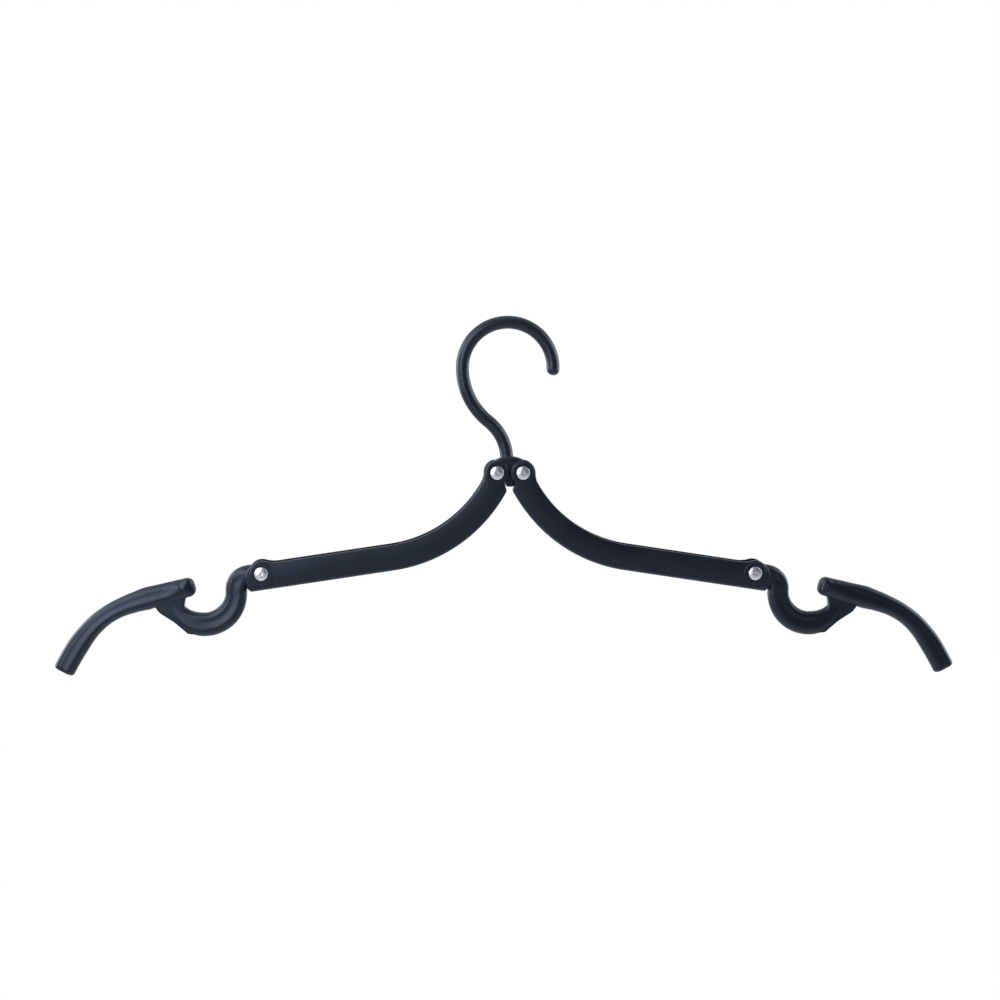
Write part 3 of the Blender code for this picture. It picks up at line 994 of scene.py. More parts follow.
def polar(centre: Sequence[float], point: Sequence[float]) -> float:
    """The polar angle of a point seen from a centre."""
    return math.atan2(point[1] - centre[1], point[0] - centre[0])


def arc(centre: Sequence[float], radius: float, start: float, end: float, clockwise: bool = False) -> list[Point]:
    """Points of an arc, both ends included.

    Args:
        centre: The arc's centre.
        radius: Its radius.
        start: The first polar angle.
        end: The last polar angle.
        clockwise: Whether it runs clockwise.

    Returns:
        The points.
    """
    full = 2 * math.pi
    sweep = -((start - end) % full) if clockwise else (end - start) % full
    count = max(2, math.ceil(abs(sweep) / min(ARC_STEP, 2 * math.acos(1 - CHORD_GAP / radius))))
    angles = [start + sweep * step / count for step in range(count + 1)]
    return [(centre[0] + radius * math.cos(a), centre[1] + radius * math.sin(a)) for a in angles]


def circles_meet(first: Sequence[float], first_radius: float, second: Sequence[float], second_radius: float) -> Vector:
    """Finds where two circles cross, to the left of the line from the first centre to the second.

    Args:
        first: The first centre.
        first_radius: Its circle's radius.
        second: The second centre.
        second_radius: Its circle's radius.

    Returns:
        The crossing.
    """
    start = Vector(first)
    between = Vector(second) - start
    gap = between.length
    ahead = (gap**2 + first_radius**2 - second_radius**2) / (2 * gap)
    unit = between / gap
    return start + unit * ahead + Vector((-unit.y, unit.x)) * math.sqrt(first_radius**2 - ahead**2)


def line_meets_circle(start: Vector, direction: Vector, centre: Sequence[float], radius: float) -> Vector:
    """Finds where a line from outside a circle first enters it.

    Args:
        start: Where the line starts.
        direction: Its direction, of length one.
        centre: The circle's centre.
        radius: Its radius.

    Returns:
        The crossing.
    """
    back = start - Vector(centre)
    along = back.dot(direction)
    return start + direction * (-along - math.sqrt(along**2 - back.length_squared + radius**2))


@dataclass
class Hinges:
    """The hinge places on the right side, as the frame gives them."""

    inner: Vector
    outer: Vector

    @classmethod
    def from_frame(cls, joints: Sequence[dict]) -> "Hinges":
        """Reads the right-hand hinge places.

        Args:
            joints: The frame's joints.

        Returns:
            The hinge places.
        """
        places = {joint["name"]: Vector(joint["pos_m"]) for joint in joints}
        return cls(places["inner_hinge_right"], places["outer_hinge_right"])


@dataclass
class InnerArm:
    """A channel-shaped moulding between two hinges, open at the top, with a round ear at each end."""

    hinges: Hinges
    slope: float = math.radians(8.5)
    top_bend: float = 56.2 * MM
    height: float = 11.5 * MM
    edge_over_hub: float = 4.0 * MM
    edge_over_tip: float = 4.1 * MM
    channel: float = 8.0 * MM
    wall: float = 1.5 * MM
    floor: float = 1.5 * MM
    top_round: float = 0.5 * MM
    under_round: float = 1.3 * MM
    toe_half_gap: float = 1.4 * MM
    toe_lean: float = math.radians(14)
    hub_ear: float = 5.6 * MM
    tip_ear: float = 5.8 * MM
    hub_blend: float = 8.5 * MM
    tip_blend: float = 13.0 * MM
    cheek: float = 5.6 * MM
    cheek_out: float = 1.3 * MM
    cheek_drop: float = 1.2 * MM
    boss_rise: float = 0.4 * MM
    boss_rim: float = 0.6 * MM
    boss_edge: float = 0.38 * MM
    boss_ledge: float = 0.12 * MM
    heel_corner: float = 1.8 * MM
    heel_gap: float = 0.3 * MM
    bore: float = 1.9 * MM
    seat: float = 3.4 * MM
    seat_deep: float = 0.5 * MM
    seat_edge: float = 0.15 * MM
    crown: float = 0.35 * MM
    overrun: float = 4.0 * MM
    heel_bulge: float = 0.04
    heel_steps: int = 6
    boss_steps: int = 5
    ear_sides: int = 96
    up: Vector = field(init=False)
    along: Vector = field(init=False)
    tip: Vector = field(init=False)
    bend: Vector = field(init=False)

    def __post_init__(self) -> None:
        """Works out the directions and centres that the outline is drawn from."""
        self.up = Vector((math.sin(self.slope), math.cos(self.slope)))
        self.along = Vector((self.up.y, -self.up.x))
        span = self.hinges.outer - self.hinges.inner
        self.tip = Vector((span.x, span.z))
        rise = self.up.dot(self.tip) + self.edge_over_tip + self.top_bend
        aside = math.sqrt((self.top_bend + self.edge_over_hub) ** 2 - rise**2)
        self.bend = self.up * rise + self.along * aside

    @property
    def boss_face(self) -> float:
        """How far the ears' faces lie from the middle plane."""
        return self.channel / 2 + self.wall + self.boss_rise

    @property
    def toe_rise(self) -> Vector:
        """The direction of the toe's flank, upwards."""
        return Vector((math.sin(self.toe_lean), math.cos(self.toe_lean)))

    @property
    def foot(self) -> Vector:
        """Where the toe's flank meets the underside."""
        x = self.toe_half_gap - self.hinges.inner.x
        return Vector((x, self.bend.y - math.sqrt((self.top_bend + self.height) ** 2 - (self.bend.x - x) ** 2)))

    def outline(self, beside: float) -> tuple[list[Point], list[float]]:
        """Draws the side view about the inner hinge.

        Args:
            beside: How far beyond the outer hinge the outer arm's bar runs down beside the heel.

        Returns:
            The outline, anticlockwise from the toe, and the edge radius at each point.
        """
        straight = polar((0, 0), -self.up)
        low = self.tip + self.up * (self.edge_over_tip - self.height)
        heel = low + self.along * ((self.tip.x + beside - self.heel_gap - low.x) / self.along.x)
        under = arc(self.bend, self.top_bend + self.height, polar(self.bend, self.foot), straight)
        rounds = [self.under_round] * len(under)
        turned = self.heel(heel)
        under += turned
        fading = (self.top_round - self.under_round) / (len(turned) - 1)
        rounds += [self.under_round + fading * step for step in range(len(turned))]
        heel_top = Vector(under[-1])
        over_tip = self.edge_over_tip + self.tip_blend
        back = math.sqrt((self.tip_ear + self.tip_blend) ** 2 - over_tip**2)
        tip_blend = self.tip + self.up * over_tip - self.along * back
        hub_blend = circles_meet(self.bend, self.top_bend - self.hub_blend, (0, 0), self.hub_ear + self.hub_blend)
        inner_edge = line_meets_circle(self.foot, self.toe_rise, (0, 0), self.hub_ear)
        cheek = self.tip + Vector((self.cheek_out, -self.cheek_drop))
        touch = polar(cheek, heel_top) + math.acos(self.cheek / (heel_top - cheek).length)
        shared = polar(cheek, self.tip) - math.acos((self.cheek - self.tip_ear) / (self.tip - cheek).length)
        over = arc(cheek, self.cheek, touch, shared)
        over += arc(self.tip, self.tip_ear, shared, polar(self.tip, tip_blend))[1:]
        over += arc(tip_blend, self.tip_blend, polar(tip_blend, self.tip), straight, clockwise=True)[1:]
        over += arc(self.bend, self.top_bend, straight, polar(self.bend, hub_blend), clockwise=True)
        last = polar(hub_blend, (0, 0))
        over += arc(hub_blend, self.hub_blend, polar(self.bend, hub_blend), last, clockwise=True)[1:]
        over += arc((0, 0), self.hub_ear, polar((0, 0), hub_blend), polar((0, 0), inner_edge))[1:]
        return under + over, rounds + [self.top_round] * len(over)

    def heel(self, corner: Vector) -> list[Point]:
        """Draws the heel's soft corner, inside the straight one that the solid has.

        Args:
            corner: Where the straight sides would meet.

        Returns:
            The corner's points.
        """
        first = corner - self.along * self.heel_corner
        last = corner + Vector((0.0, self.heel_corner))
        points = []
        for step in range(self.heel_steps + 1):
            t = step / self.heel_steps
            s = 1.0 - t
            curve = first * s**2 + corner * 2 * s * t + last * t**2
            straight = first * s + last * t
            points.append(tuple(straight + (curve - straight) * self.heel_bulge))
        return points

    def sag(self, x: float, z: float) -> float:
        """Works out how far the slightly crowned wall lies back: most at its top and bottom edges.

        Args:
            x: The place's X from the inner hinge.
            z: Its Z from there.

        Returns:
            The depth.
        """
        away = Vector((x, z)) - self.bend
        depth = -away.dot(self.up) if away.dot(self.along) > 0 else away.length
        across = 2 * (depth - self.top_bend) / self.height - 1.0
        return self.crown * min(1.0, across * across)

    def channel_outline(self) -> list[Point]:
        """Draws the space inside the channel, over its floor and out at both ends.

        Returns:
            The outline in X and Z from the inner hinge.
        """
        straight = polar((0, 0), -self.up)
        floor = arc(self.bend, self.top_bend + self.height - self.floor, -math.pi, straight)
        over_floor = self.up * (self.edge_over_tip - self.height + self.floor)
        floor_end = self.tip + over_floor + self.along * (self.tip_ear + self.overrun)
        return floor + [tuple(floor_end), (floor_end.x, self.bend.y)]

    def boss(self, place: Point, radius: float) -> Object:
        """Makes the round boss that stands proud of both walls at a hinge.

        Args:
            place: X and Z of the hinge.
            radius: The ear's radius.

        Returns:
            The boss.
        """
        rim, face, edge = radius - self.boss_rim, self.boss_face, self.boss_edge
        turns = quarter_turn(self.boss_steps)
        front = [(rim - edge * (1 - math.sin(a)), edge * (1 - math.cos(a)) - face) for a in turns]
        profile = there_and_back([(rim - edge - self.boss_ledge, -face), *front])
        return turned_object("boss", profile, place, self.ear_sides)

    def seat_cutter(self, place: Point) -> Object:
        """Makes the cutter for a hinge's bore and for the round seats of the rivet's two ends.

        Args:
            place: X and Z of the hinge.

        Returns:
            The cutter.
        """
        face, floor = self.boss_face, self.boss_face - self.seat_deep
        lip = self.seat + self.seat_edge
        half = [(lip, -face - self.overrun), (lip, -face), (self.seat, self.seat_edge - face)]
        half += [(self.seat, -floor), (self.bore, -floor)]
        return turned_object("seat", there_and_back(half), place, self.ear_sides)

    def build(self, side: Side, beside: float, finish: Material) -> Object:
        """Makes the arm of one side.

        Args:
            side: The side that it is for.
            beside: How far beyond the outer hinge the outer arm's bar runs down beside the heel.
            finish: Its material.

        Returns:
            The finished piece.
        """
        outline, rounding = self.outline(beside)
        depth = self.channel / 2 + self.wall
        arm = plate_object(f"inner_arm_{side.word}_moulding", outline, depth, rounding, self.sag)
        ends = (((0.0, 0.0), self.hub_ear), (tuple(self.tip), self.tip_ear))
        join_shapes(arm, [self.boss(place, radius) for place, radius in ends], "UNION")
        half = self.channel / 2
        rings = [[(x, y, z) for x, z in self.channel_outline()] for y in (-half, half)]
        cutters = [closed_object("inside", rings), *(self.seat_cutter(place) for place, radius in ends)]
        join_shapes(arm, cutters, "DIFFERENCE")
        return placed(shaded(arm, finish, FINE_CREASE), self.hinges.inner, side)


@dataclass
class OuterArm:
    """A bar that bends round the strap notch and thins into a web, with the shoulder bar lying over it."""

    hinges: Hinges
    sweep: SweptBarTree
    bar: float = 8.8 * MM
    drop_bar: float = 9.6 * MM
    notch_bar_wide: float = 10.6 * MM
    fade_bar: float = 7.0 * MM
    bar_depth: float = 7.2 * MM
    eye_depth: float = 7.4 * MM
    eye_edge: float = 0.6 * MM
    tongue_run: float = 6.1 * MM
    tongue_bend: float = 6.2 * MM
    tongue_slope: float = math.radians(8.5)
    notch_drop: float = 1.8 * MM
    notch_bend: float = 14.2 * MM
    notch_turn: float = math.radians(92)
    midway: float = 0.6
    fade_turn: float = math.radians(70)
    web_depth: float = 4.6 * MM
    web_edge: float = 0.4 * MM
    start: Point = (29.5 * MM, -5.5 * MM)
    end: Point = (87.76 * MM, -44.07 * MM)
    near_handle: float = 34.8 * MM
    far_handle: float = 34.8 * MM
    near_slope: float = math.radians(16.5)
    far_slope: float = math.radians(63)
    shoulder_bar: float = 10.2 * MM
    shoulder_depth: float = 7.1 * MM
    dome_round: float = 3.2 * MM
    tip_round: float = 1.6 * MM
    groove_at: float = 6.2 * MM
    groove_half: float = 1.0 * MM
    groove_deep: float = 0.15 * MM
    dome_flat: float = 5.0 * MM
    dome_lower: float = 0.35 * MM
    gate_wide: float = 0.90 * MM
    gate_high: float = 1.45 * MM
    gate_rim: float = 0.30 * MM
    gate_deep: float = 0.16 * MM
    gate_at: float = 2.9 * MM
    bore: float = 1.9 * MM
    section: float = 2.5
    dome_section: float = 3.4
    shoulder_section: float = 2.2
    scoop: float = 0.20
    scoop_from: float = 6.0 * MM
    scoop_full: float = 15.0 * MM
    curve_steps: int = 180
    gate_sides: int = 48
    rim_sides: int = 12
    web_shares: tuple[Point, ...] = (
        (0.06, -1.33), (0.50, -1.29), (0.92, -0.93), (1.37, -0.64), (1.47, -0.52), (1.54, -0.40),
        (1.37, -0.10), (0.68, 0.06), (0.53, -0.08), (0.58, -0.20), (0.60, -0.31), (0.61, -0.44),
        (0.54, -0.55), (0.23, -0.92),
    )
    width_shares: tuple[Point, ...] = (
        (0.00, 0.82), (0.18, 0.92), (0.30, 1.00), (0.38, 0.90), (0.47, 0.82), (0.56, 0.80),
        (0.68, 0.84), (0.82, 0.94), (1.00, 0.94),
    )

    def notch_bar(self, finish: Material) -> Object:
        """Makes the bar from the eye down and round under the notch, thinning at its far end.

        Args:
            finish: The material.

        Returns:
            The bar.
        """
        line = Line(0.0, 0.0, -self.tongue_slope)
        rows = [(0.0, self.bar, self.bar_depth)]
        stretches = (
            (line.run, (self.tongue_run,), self.bar, self.bar_depth),
            (line.turn, (self.tongue_bend, self.tongue_slope - math.pi / 2), self.drop_bar, self.bar_depth),
            (line.run, (self.notch_drop,), self.drop_bar, self.bar_depth),
            (line.turn, (self.notch_bend, self.notch_turn * self.midway), self.notch_bar_wide, self.bar_depth),
            (line.turn, (self.notch_bend, self.notch_turn * (1 - self.midway)), self.notch_bar_wide, self.bar_depth),
            (line.turn, (self.notch_bend, self.fade_turn), self.fade_bar, self.web_depth),
        )
        for draw, sizes, wide, deep in stretches:
            draw(*sizes)
            rows.append((line.gone[-1], wide, deep))
        fade_from, end = rows[-2][0], rows[-1][0]

        def size(at: float) -> Size:
            """Gives the bar's size at a place.

            Args:
                at: The length from the start.

            Returns:
                Half width, half depth, section and scoop.
            """
            scoop = self.scoop * soft_share(at, self.tongue_run, self.tongue_run + self.tongue_bend)
            scoop *= 1.0 - soft_share(at, fade_from, end)
            for before, after in zip(rows, rows[1:]):
                if at <= after[0]:
                    part = soft_share(at, before[0], after[0])
                    wide, deep = ((a + (b - a) * part) / 2 for a, b in zip(before[1:], after[1:]))
                    return wide, deep, self.section, scoop
            return self.fade_bar / 2, self.web_depth / 2, self.section, 0.0

        return self.sweep.bar("notch_bar", stations_along(line.points, line.gone, size), finish)

    @property
    def beside(self) -> float:
        """How far beyond the hinge the bar's near side lies where it runs down beside the inner arm's heel."""
        out = self.tongue_run * math.cos(self.tongue_slope) - self.tongue_bend * math.sin(self.tongue_slope)
        return out + self.tongue_bend - self.drop_bar / 2

    def notch_centre(self) -> Point:
        """The centre of the notch bend, from the hinge."""
        down = self.tongue_run * math.sin(self.tongue_slope) + self.tongue_bend * math.cos(self.tongue_slope)
        return self.beside + self.drop_bar / 2 + self.notch_bend, -down - self.notch_drop

    def web(self) -> Object:
        """Makes the thin web between the notch bar and the shoulder bar.

        Returns:
            The web.
        """
        middle = self.notch_centre()
        outline = [(middle[0] + x * self.notch_bend, middle[1] + z * self.notch_bend) for x, z in self.web_shares]
        return plate_object("web", outline, self.web_depth / 2, self.web_edge)

    def width_share(self, share: float) -> float:
        """Reads the shoulder bar's width off the table with half-soft steps.

        Args:
            share: The share of the bar's length.

        Returns:
            The share of its greatest width.
        """
        rows = self.width_shares
        for (low, before), (high, after) in zip(rows, rows[1:]):
            if share <= high:
                part = (share - low) / (high - low)
                return before + (after - before) * (0.5 * part + 0.5 * soft(part))
        return rows[-1][1]

    @property
    def near_way(self) -> Vector:
        """The direction in which the shoulder bar leaves its domed end."""
        return Vector((math.cos(self.near_slope), -math.sin(self.near_slope)))

    def shoulder(self, finish: Material) -> Object:
        """Makes the shoulder bar on its one cubic curve, with a fine groove behind its flatter domed end.

        Args:
            finish: The material.

        Returns:
            The bar.
        """
        start, end = Vector(self.start), Vector(self.end)
        near = self.near_way * self.near_handle
        far = Vector((math.cos(self.far_slope), -math.sin(self.far_slope))) * self.far_handle
        points, gone = [], []
        for step in range(self.curve_steps + 1):
            t = step / self.curve_steps
            s = 1 - t
            place = start * s**3 + (start + near) * 3 * s**2 * t + (end - far) * 3 * s * t**2 + end * t**3
            slope = near * s**2 + (end - far - start - near) * 2 * s * t + far * t**2
            gone.append(gone[-1] + math.dist(place, points[-1][:2]) if points else 0.0)
            points.append((place.x, place.y, math.atan2(slope.y, slope.x)))
        total = gone[-1]

        def size(at: float) -> Size:
            """Gives the bar's size at a place.

            Args:
                at: The length from the start.

            Returns:
                Half width, half depth, section and scoop.
            """
            dip = self.groove_deep * soft(max(0.0, 1.0 - abs(at - self.groove_at) / self.groove_half))
            flat = 1.0 - soft_share(at, self.dome_flat / 2, self.dome_flat)
            scoop = self.scoop * soft_share(at, self.scoop_from, self.scoop_full)
            section = self.shoulder_section + (self.dome_section - self.shoulder_section) * flat
            deep = self.shoulder_depth / 2 - dip - self.dome_lower * flat
            return self.shoulder_bar / 2 * self.width_share(at / total), deep, section, scoop

        stations = stations_along(points, gone, size, self.dome_round, self.tip_round)
        return self.sweep.bar("shoulder", stations, finish)

    def eye(self) -> Object:
        """Makes the round eye that turns on the rivet between the inner arm's ears.

        Returns:
            The eye.
        """
        circle = arc((0.0, 0.0), self.bar / 2, 0.0, math.pi)[:-1]
        circle += arc((0.0, 0.0), self.bar / 2, math.pi, 2 * math.pi - SHORT_OF_TURN)[:-1]
        return plate_object("eye", circle, self.eye_depth / 2, self.eye_edge)

    def gate_mark(self) -> Object:
        """Makes the cutter for the shallow oval ring that the mould's gate leaves on the front of the domed end.

        Returns:
            The cutter.
        """
        middle = Vector(self.start) + self.near_way * self.gate_at
        front = self.dome_lower - self.shoulder_depth / 2
        points = []
        for turn in full_turn(self.gate_sides):
            for angle in full_turn(self.rim_sides):
                reach = self.gate_rim * math.cos(angle)
                x = (self.gate_wide + reach) * math.cos(turn)
                z = (self.gate_high + reach) * math.sin(turn)
                points.append((middle.x + x, front + self.gate_deep * math.sin(angle), middle.y + z))
        return solid("gate_mark", points, walls(self.gate_sides, self.rim_sides, round_again=True))

    def build(self, side: Side, finish: Material) -> Object:
        """Makes the arm of one side.

        Args:
            side: The side that it is for.
            finish: Its material.

        Returns:
            The finished piece.
        """
        marks = [self.gate_mark()] if side is Side.RIGHT else []
        shoulder = join_shapes(self.shoulder(finish), marks, "DIFFERENCE")
        arm = self.eye()
        arm.name = f"outer_arm_{side.word}_moulding"
        fused(arm, [self.notch_bar(finish), self.web(), shoulder])
        bored(arm, self.bore, self.eye_depth, [(0.0, 0.0)])
        return placed(shaded(arm, finish, SOFT_CREASE), self.hinges.outer, side)


@dataclass
class Hook:
    """The hook: a round bar bent over the rod, with an S-shaped neck that grows into the flat hub."""

    hinges: Hinges
    sweep: SweptBarTree
    bar: float = 6.0 * MM
    bend: float = 20.2 * MM
    tip_dip: float = math.radians(9.5)
    back_bend: float = 30.5 * MM
    back_turn: float = math.radians(50)
    slant: float = 1.8 * MM
    neck_bend: float = 21.4 * MM
    neck_turn: float = math.radians(45)
    root: float = 4.8 * MM
    shift: float = 1.0 * MM
    rise: float = 46.7 * MM
    tip_round: float = 2.8 * MM
    facet_inset: float = 0.07 * MM
    hub_eye: float = 4.9 * MM
    hub_depth: float = 7.4 * MM
    crown_top: float = 7.3 * MM
    crown_bend: float = 13.0 * MM
    crown_round: float = 1.5 * MM
    nose_drop: float = 6.3 * MM
    nose_corner: float = 0.5 * MM
    hub_edge: float = 0.6 * MM
    toe_gap: float = 0.3 * MM
    bore: float = 1.9 * MM

    def hook_bar(self, finish: Material) -> Object:
        """Makes the round bar from the tip, over the rod and down the neck.

        Args:
            finish: The material.

        Returns:
            The bar.
        """
        start = -self.tip_dip
        x, z = self.bend * math.cos(start) - self.shift, self.bend * math.sin(start) + self.rise
        line = Line(x, z, start + math.pi / 2)
        line.turn(self.bend, math.pi + self.tip_dip).turn(self.back_bend, self.back_turn)
        line.run(self.slant).turn(self.neck_bend, -self.neck_turn)
        x, z, heading = line.points[-1]
        line.run((self.crown_top - self.root - z) / math.sin(heading))
        half = self.bar / 2 - self.facet_inset
        stations = stations_along(line.points, line.gone, lambda at: (half, half, ELLIPSE, 0.0), self.tip_round)
        return self.sweep.bar("hook_bar", stations, finish)

    def hub(self, arm: InnerArm) -> Object:
        """Makes the flat hub with its two eyes, its crown and the nose that the arms' toes rest on.

        Args:
            arm: The inner arm, whose toe gives the nose its flanks.

        Returns:
            The hub about the midpoint of the inner hinges.
        """
        eye = (self.hinges.inner.x, 0.0)
        crown = (0.0, self.crown_top - self.crown_bend)
        rise = arm.toe_rise
        flank = Vector((arm.toe_half_gap, arm.foot.y)) - Vector((rise.y, -rise.x)) * self.toe_gap
        nose = flank + rise * ((-self.nose_drop - flank.y) / rise.y)
        root = line_meets_circle(nose, rise, eye, self.hub_eye)
        shoulder = circles_meet(crown, self.crown_bend, eye, self.hub_eye)
        right = [(nose.x - self.nose_corner, nose.y), tuple(nose + rise * self.nose_corner)]
        right += arc(eye, self.hub_eye, polar(eye, root), polar(eye, shoulder))
        right += arc(crown, self.crown_bend, polar(crown, shoulder), math.pi / 2)[1:]
        outline = right + [(-x, z) for x, z in reversed(right[:-1])]
        rounding = [self.crown_round if z > self.hub_eye else self.hub_edge for x, z in outline]
        return plate_object("hook_moulding", outline, self.hub_depth / 2, rounding)

    def build(self, arm: InnerArm, finish: Material) -> Object:
        """Makes the hook.

        Args:
            arm: The inner arm that rests on the hub's nose.
            finish: Its material.

        Returns:
            The finished piece.
        """
        hook = self.hub(arm)
        fused(hook, [self.hook_bar(finish)])
        eyes = [(side.value * self.hinges.inner.x, 0.0) for side in Side]
        shaded(bored(hook, self.bore, self.hub_depth, eyes), finish, SOFT_CREASE)
        hook.data.transform(Matrix.Translation((0.0, 0.0, self.hinges.inner.z)))
        return hook


@dataclass
class RivetSet:
    """The two rivets that turn with one inner arm: spun heads in front, rolled ends behind."""

    hinges: Hinges
    turned: TurnedSetTree
    shank: float = 1.6 * MM
    head: float = 3.02 * MM
    under: float = 5.7 * MM
    head_thick: float = 0.9 * MM
    edge_round: float = 0.30 * MM
    crown_radius: float = 0.95 * MM
    dome_drop: float = 0.38 * MM
    dish_deep: float = 0.03 * MM
    ridge_pitch: float = 0.46 * MM
    ridge_high: float = 0.012 * MM
    tail_bore: float = 1.0 * MM
    tail_bore_deep: float = 2.4 * MM
    face_steps: int = 56
    roll_steps: int = 6
    sides: int = 72

    def head_height(self, radius: float) -> float:
        """How far the head's face lies below its highest ring, at a radius.

        Args:
            radius: The distance from the axis.

        Returns:
            The depth below the highest ring, never negative.
        """
        flat = self.head - self.edge_round
        if radius > flat:
            round_off = self.edge_round - math.sqrt(max(0.0, self.edge_round**2 - (radius - flat) ** 2))
            return self.dome_drop + round_off
        ridge = self.ridge_high * (0.5 + 0.5 * math.cos(2 * math.pi * (flat - radius) / self.ridge_pitch - math.pi))
        if radius > self.crown_radius:
            share = (radius - self.crown_radius) / (flat - self.crown_radius)
            return ridge * (1.0 - share) + self.dome_drop * share * share
        share = 1.0 - radius / self.crown_radius
        return ridge + self.dish_deep * soft(share)

    def profile(self) -> list[Point]:
        """Draws half the rivet's section.

        Returns:
            Radius and Y, from the axis in front to the axis behind.
        """
        face = self.under + self.head_thick
        radii = [self.head * step / self.face_steps for step in range(self.face_steps + 1)]
        front = [(radius, self.head_height(radius) - face) for radius in radii]
        roll = (self.head - self.tail_bore) / 2
        rolled = self.tail_bore + roll
        turns = quarter_turn(self.roll_steps)
        tail = [(rolled + roll * math.cos(2 * a), self.under + self.head_thick * math.sin(2 * a)) for a in turns]
        body = [(self.head, -self.under), (self.shank, -self.under), (self.shank, self.under)]
        bottom = face - self.tail_bore_deep
        return front + body + tail + [(self.tail_bore, bottom), (0.0, bottom)]

    def build(self, side: Side, finish: Material) -> Object:
        """Makes the two rivets of one inner arm.

        Args:
            side: The side that they are for.
            finish: Their material.

        Returns:
            One piece that holds both.
        """
        name = "rivet_profile"
        drawn = linked(name, thread(name, [(r, y, 0.0) for r, y in self.profile()]))
        places = bpy.data.meshes.new("rivet_places")
        hinges = (self.hinges.inner, self.hinges.outer)
        places.from_pydata([(side.value * h.x, 0.0, h.z) for h in hinges], [], [])
        made = linked(f"rivets_{side.word}", places)
        self.turned.run(made, {"Profile": drawn, "Sides": self.sides, "Finish": finish})
        bpy.data.objects.remove(drawn, do_unlink=True)
        return shaded(made, finish, SOFT_CREASE)


@dataclass(frozen=True)
class Viewpoint:
    """The photograph's camera: its angles, its distance from the hub and where its axis meets the picture."""

    azimuth: float = math.radians(-3.09)
    elevation: float = math.radians(3.34)
    distance: float = 0.946
    roll: float = math.radians(0.25)
    focal_px: float = 2117.8
    axis_px: Point = (509.56, 472.33)
    frame_px: float = 1000.0
    sensor_mm: float = 36.0
    clip: Point = (0.02, 50.0)

    def make(self, aim: Vector) -> None:
        """Sets the scene's camera.

        Args:
            aim: The point on the camera's axis.
        """
        flat = math.cos(self.elevation)
        back = Vector((math.sin(self.azimuth) * flat, -math.cos(self.azimuth) * flat, math.sin(self.elevation)))
        right = Vector((math.cos(self.azimuth), math.sin(self.azimuth), 0.0))
        up = back.cross(right)
        rolled_right = right * math.cos(self.roll) + up * math.sin(self.roll)
        rolled_up = up * math.cos(self.roll) - right * math.sin(self.roll)
        data = bpy.data.cameras.new("photograph_view")
        data.sensor_width = self.sensor_mm
        data.lens = self.sensor_mm * self.focal_px / self.frame_px
        data.shift_x = (self.frame_px / 2 - self.axis_px[0]) / self.frame_px
        data.shift_y = (self.axis_px[1] - self.frame_px / 2) / self.frame_px
        data.clip_start, data.clip_end = self.clip
        camera = linked(data.name, data)
        turn = Matrix((rolled_right, rolled_up, back)).transposed()
        camera.matrix_world = Matrix.Translation(aim + back * self.distance) @ turn.to_4x4()
        bpy.context.scene.camera = camera


@dataclass(frozen=True)
class SoftBox:
    """One studio softbox, given by its direction from the hanger: round from the front to the right, and up."""

    name: str
    azimuth: float
    elevation: float
    distance: float
    wide: float
    high: float
    watts: float

    def make(self, aim: Vector) -> None:
        """Hangs the lamp.

        Args:
            aim: The point that it faces.
        """
        data = bpy.data.lights.new(self.name, "AREA")
        data.shape = "RECTANGLE"
        data.size = self.wide
        data.size_y = self.high
        data.energy = self.watts
        lamp = linked(self.name, data)
        round_to, rise = math.radians(self.azimuth), math.radians(self.elevation)
        flat = math.cos(rise)
        way = Vector((math.sin(round_to) * flat, -math.cos(round_to) * flat, math.sin(rise)))
        turn = way.to_track_quat("Z", "Y").to_matrix().to_4x4()
        lamp.matrix_world = Matrix.Translation(aim + way * self.distance) @ turn
        lamp.visible_camera = False


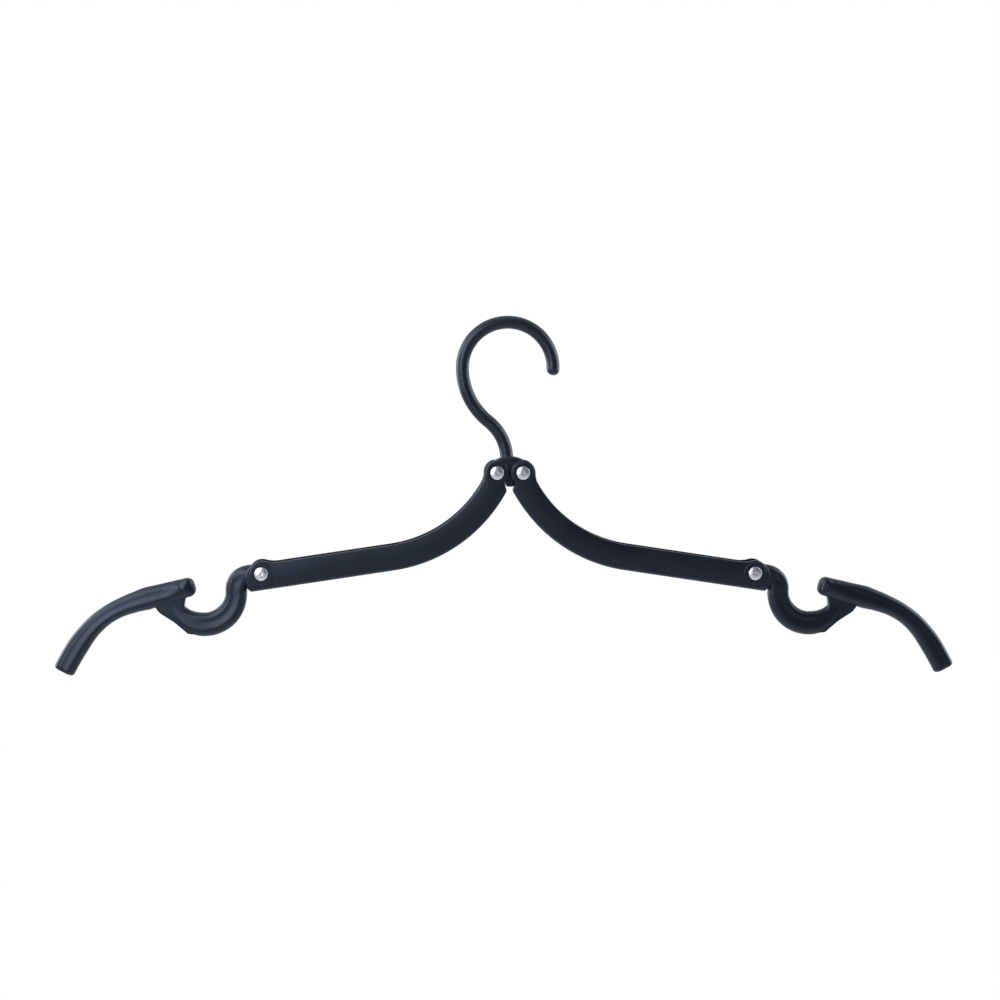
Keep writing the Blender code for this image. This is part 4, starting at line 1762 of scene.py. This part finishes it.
@dataclass
class Studio:
    """The white studio: a pale floor well below the hanging hanger, a white surround and six softboxes."""

    floor_drop: float = 0.90
    floor_half: float = 9.0
    white: str = "#ffffff"
    floor_colour: str = "#f4f4f4"
    floor_shadow_share: float = 0.12
    shadow_near: float = 1.0
    shadow_far: float = 2.2
    shown_from: float = 0.3
    shown_to: float = 1.5
    room_grey: float = 0.15
    room_turn: Point = (-0.45, 0.25)
    lamps: tuple[SoftBox, ...] = (
        SoftBox("left_key_softbox", -66.0, 38.0, 1.00, 0.50, 0.60, 3.0),
        SoftBox("left_side_softbox", -101.0, 10.0, 1.00, 0.85, 0.85, 9.0),
        SoftBox("left_front_softbox", -31.0, 15.0, 1.00, 0.64, 0.80, 6.6),
        SoftBox("right_softbox", 66.0, 32.0, 1.00, 0.46, 0.60, 1.8),
        SoftBox("right_side_softbox", 97.0, 12.0, 1.00, 0.80, 0.80, 6.4),
        SoftBox("top_softbox", -20.0, 72.0, 0.95, 0.90, 0.60, 1.5),
    )

    def floor_light(self, tree: NodeTree) -> NodeSocket:
        """Works out how white the floor shows by itself, the rest being what the lamps make of it.

        Args:
            tree: The floor's node tree.

        Returns:
            A socket from zero, for light that falls on the floor, to one, for a background seen straight, in a
            reflection or in a refraction.
        """
        path = add_node(tree, "ShaderNodeLightPath").outputs
        place = add_node(tree, "ShaderNodeTexCoord").outputs["Object"]
        # Straight down the shadow stays; far off the floor goes over into the white surround
        flat = add_node(tree, "ShaderNodeVectorMath", {0: place, 1: (1.0, 1.0, 0.0)}, operation="MULTIPLY")
        away = add_node(tree, "ShaderNodeVectorMath", {0: flat.outputs["Vector"]}, operation="LENGTH")
        reach, shown = (self.shadow_near, self.shadow_far), (1.0 - self.floor_shadow_share, 1.0)
        seen = mapped(tree, away.outputs["Value"], reach, shown, "SMOOTHSTEP")
        # A reflection shows the background white where the camera sees the floor, which is behind the hanger
        beyond = (self.shown_from, self.shown_to)
        behind = mapped(tree, part_of(tree, place, "Y"), beyond, (0.0, 1.0), "SMOOTHSTEP")
        bent = maths(tree, "MAXIMUM", path["Is Glossy Ray"], path["Is Transmission Ray"])
        straight = maths(tree, "MULTIPLY", path["Is Camera Ray"], seen)
        return maths(tree, "MAXIMUM", straight, maths(tree, "MULTIPLY", bent, behind))

    def surround(self) -> None:
        """Makes the world: white behind and for the camera, and a grey open room in front."""
        world = bpy.data.worlds.new("white_studio")
        world.use_nodes = True
        tree = world.node_tree
        tree.nodes.clear()
        way = add_node(tree, "ShaderNodeTexCoord").outputs["Generated"]
        depth = mapped(tree, part_of(tree, way, "Y"), self.room_turn, (self.room_grey, 1.0), "SMOOTHSTEP")
        path = add_node(tree, "ShaderNodeLightPath").outputs
        straight = maths(tree, "MAXIMUM", path["Is Camera Ray"], path["Is Transmission Ray"])
        glow = {"Color": linear(self.white), "Strength": maths(tree, "MAXIMUM", straight, depth)}
        surface = add_node(tree, "ShaderNodeBackground", glow).outputs["Background"]
        add_node(tree, "ShaderNodeOutputWorld", {"Surface": surface})
        bpy.context.scene.world = world

    def floor(self, lowest: float) -> None:
        """Makes the pale floor, which shows white and keeps a soft shadow.

        Args:
            lowest: The height of the hanger's lowest point.
        """
        half, height = self.floor_half, lowest - self.floor_drop
        material = bpy.data.materials.new("pale_floor")
        material.use_nodes = True
        tree = material.node_tree
        tree.nodes.clear()
        matt = add_node(tree, "ShaderNodeBsdfDiffuse", {"Color": linear(self.floor_colour)}).outputs["BSDF"]
        white = add_node(tree, "ShaderNodeEmission", {"Color": linear(self.white), "Strength": 1.0})
        both = {0: self.floor_light(tree), 1: matt, 2: white.outputs["Emission"]}
        surface = add_node(tree, "ShaderNodeMixShader", both).outputs["Shader"]
        add_node(tree, "ShaderNodeOutputMaterial", {"Surface": surface})
        mesh = bpy.data.meshes.new("studio_floor")
        ends = [(-half, -half, height), (half, -half, height), (half, half, height), (-half, half, height)]
        mesh.from_pydata(ends, [], [(0, 1, 2, 3)])
        mesh.materials.append(material)
        linked(mesh.name, mesh)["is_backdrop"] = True

    def make(self, aim: Vector, lowest: float) -> None:
        """Builds the studio.

        Args:
            aim: What the lamps face.
            lowest: The height of the hanger's lowest point.
        """
        self.surround()
        self.floor(lowest)
        for lamp in self.lamps:
            lamp.make(aim)
        bpy.context.scene.view_settings.view_transform = "Standard"


def hand_over(piece: Object, body: str, nodes: Sequence[str]) -> None:
    """Gives a piece to the body that carries it, in place of the frame's own solids.

    Args:
        piece: The finished piece.
        body: The body that it moves with.
        nodes: The nodes that it stands for.
    """
    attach(piece, body)
    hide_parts(*nodes)
    LOG.info("%s: %d faces, rides on %s", piece.name, len(piece.data.polygons), body)


def corners(bounds: Sequence[Sequence[float]]) -> list[list[float]]:
    """Turns a box into plain lists of numbers."""
    return [[float(value) for value in corner] for corner in bounds]


def main() -> None:
    """Builds the hanger on its frame, lights it and sets the camera."""
    logging.basicConfig(level=logging.INFO, format="%(name)s: %(message)s")
    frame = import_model()
    solid_box = corners(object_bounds())
    hinges = Hinges.from_frame(frame["joints"])
    plastic = MouldedPlastic().make()
    steel_finish = PlatedSteel()
    steel = steel_finish.make()
    sweep = SweptBarTree()
    arm = InnerArm(hinges)
    outer = OuterArm(hinges, sweep)
    rivets = RivetSet(hinges, TurnedSetTree(steel_finish.radius_attribute))
    hand_over(Hook(hinges, sweep).build(arm, plastic), "hook", ["hook"])
    for side in Side:
        word = side.word
        body = f"inner_arm_{word}"
        hand_over(arm.build(side, outer.beside, plastic), body, [body])
        hand_over(rivets.build(side, steel), body, [f"inner_rivet_{word}", f"outer_rivet_{word}"])
        hand_over(outer.build(side, plastic), f"outer_arm_{word}", [f"outer_arm_{word}"])
    aim = Vector((0.0, 0.0, hinges.inner.z))
    Viewpoint().make(aim)
    Studio().make(aim, solid_box[0][2])


if __name__ == "__main__":
    main()
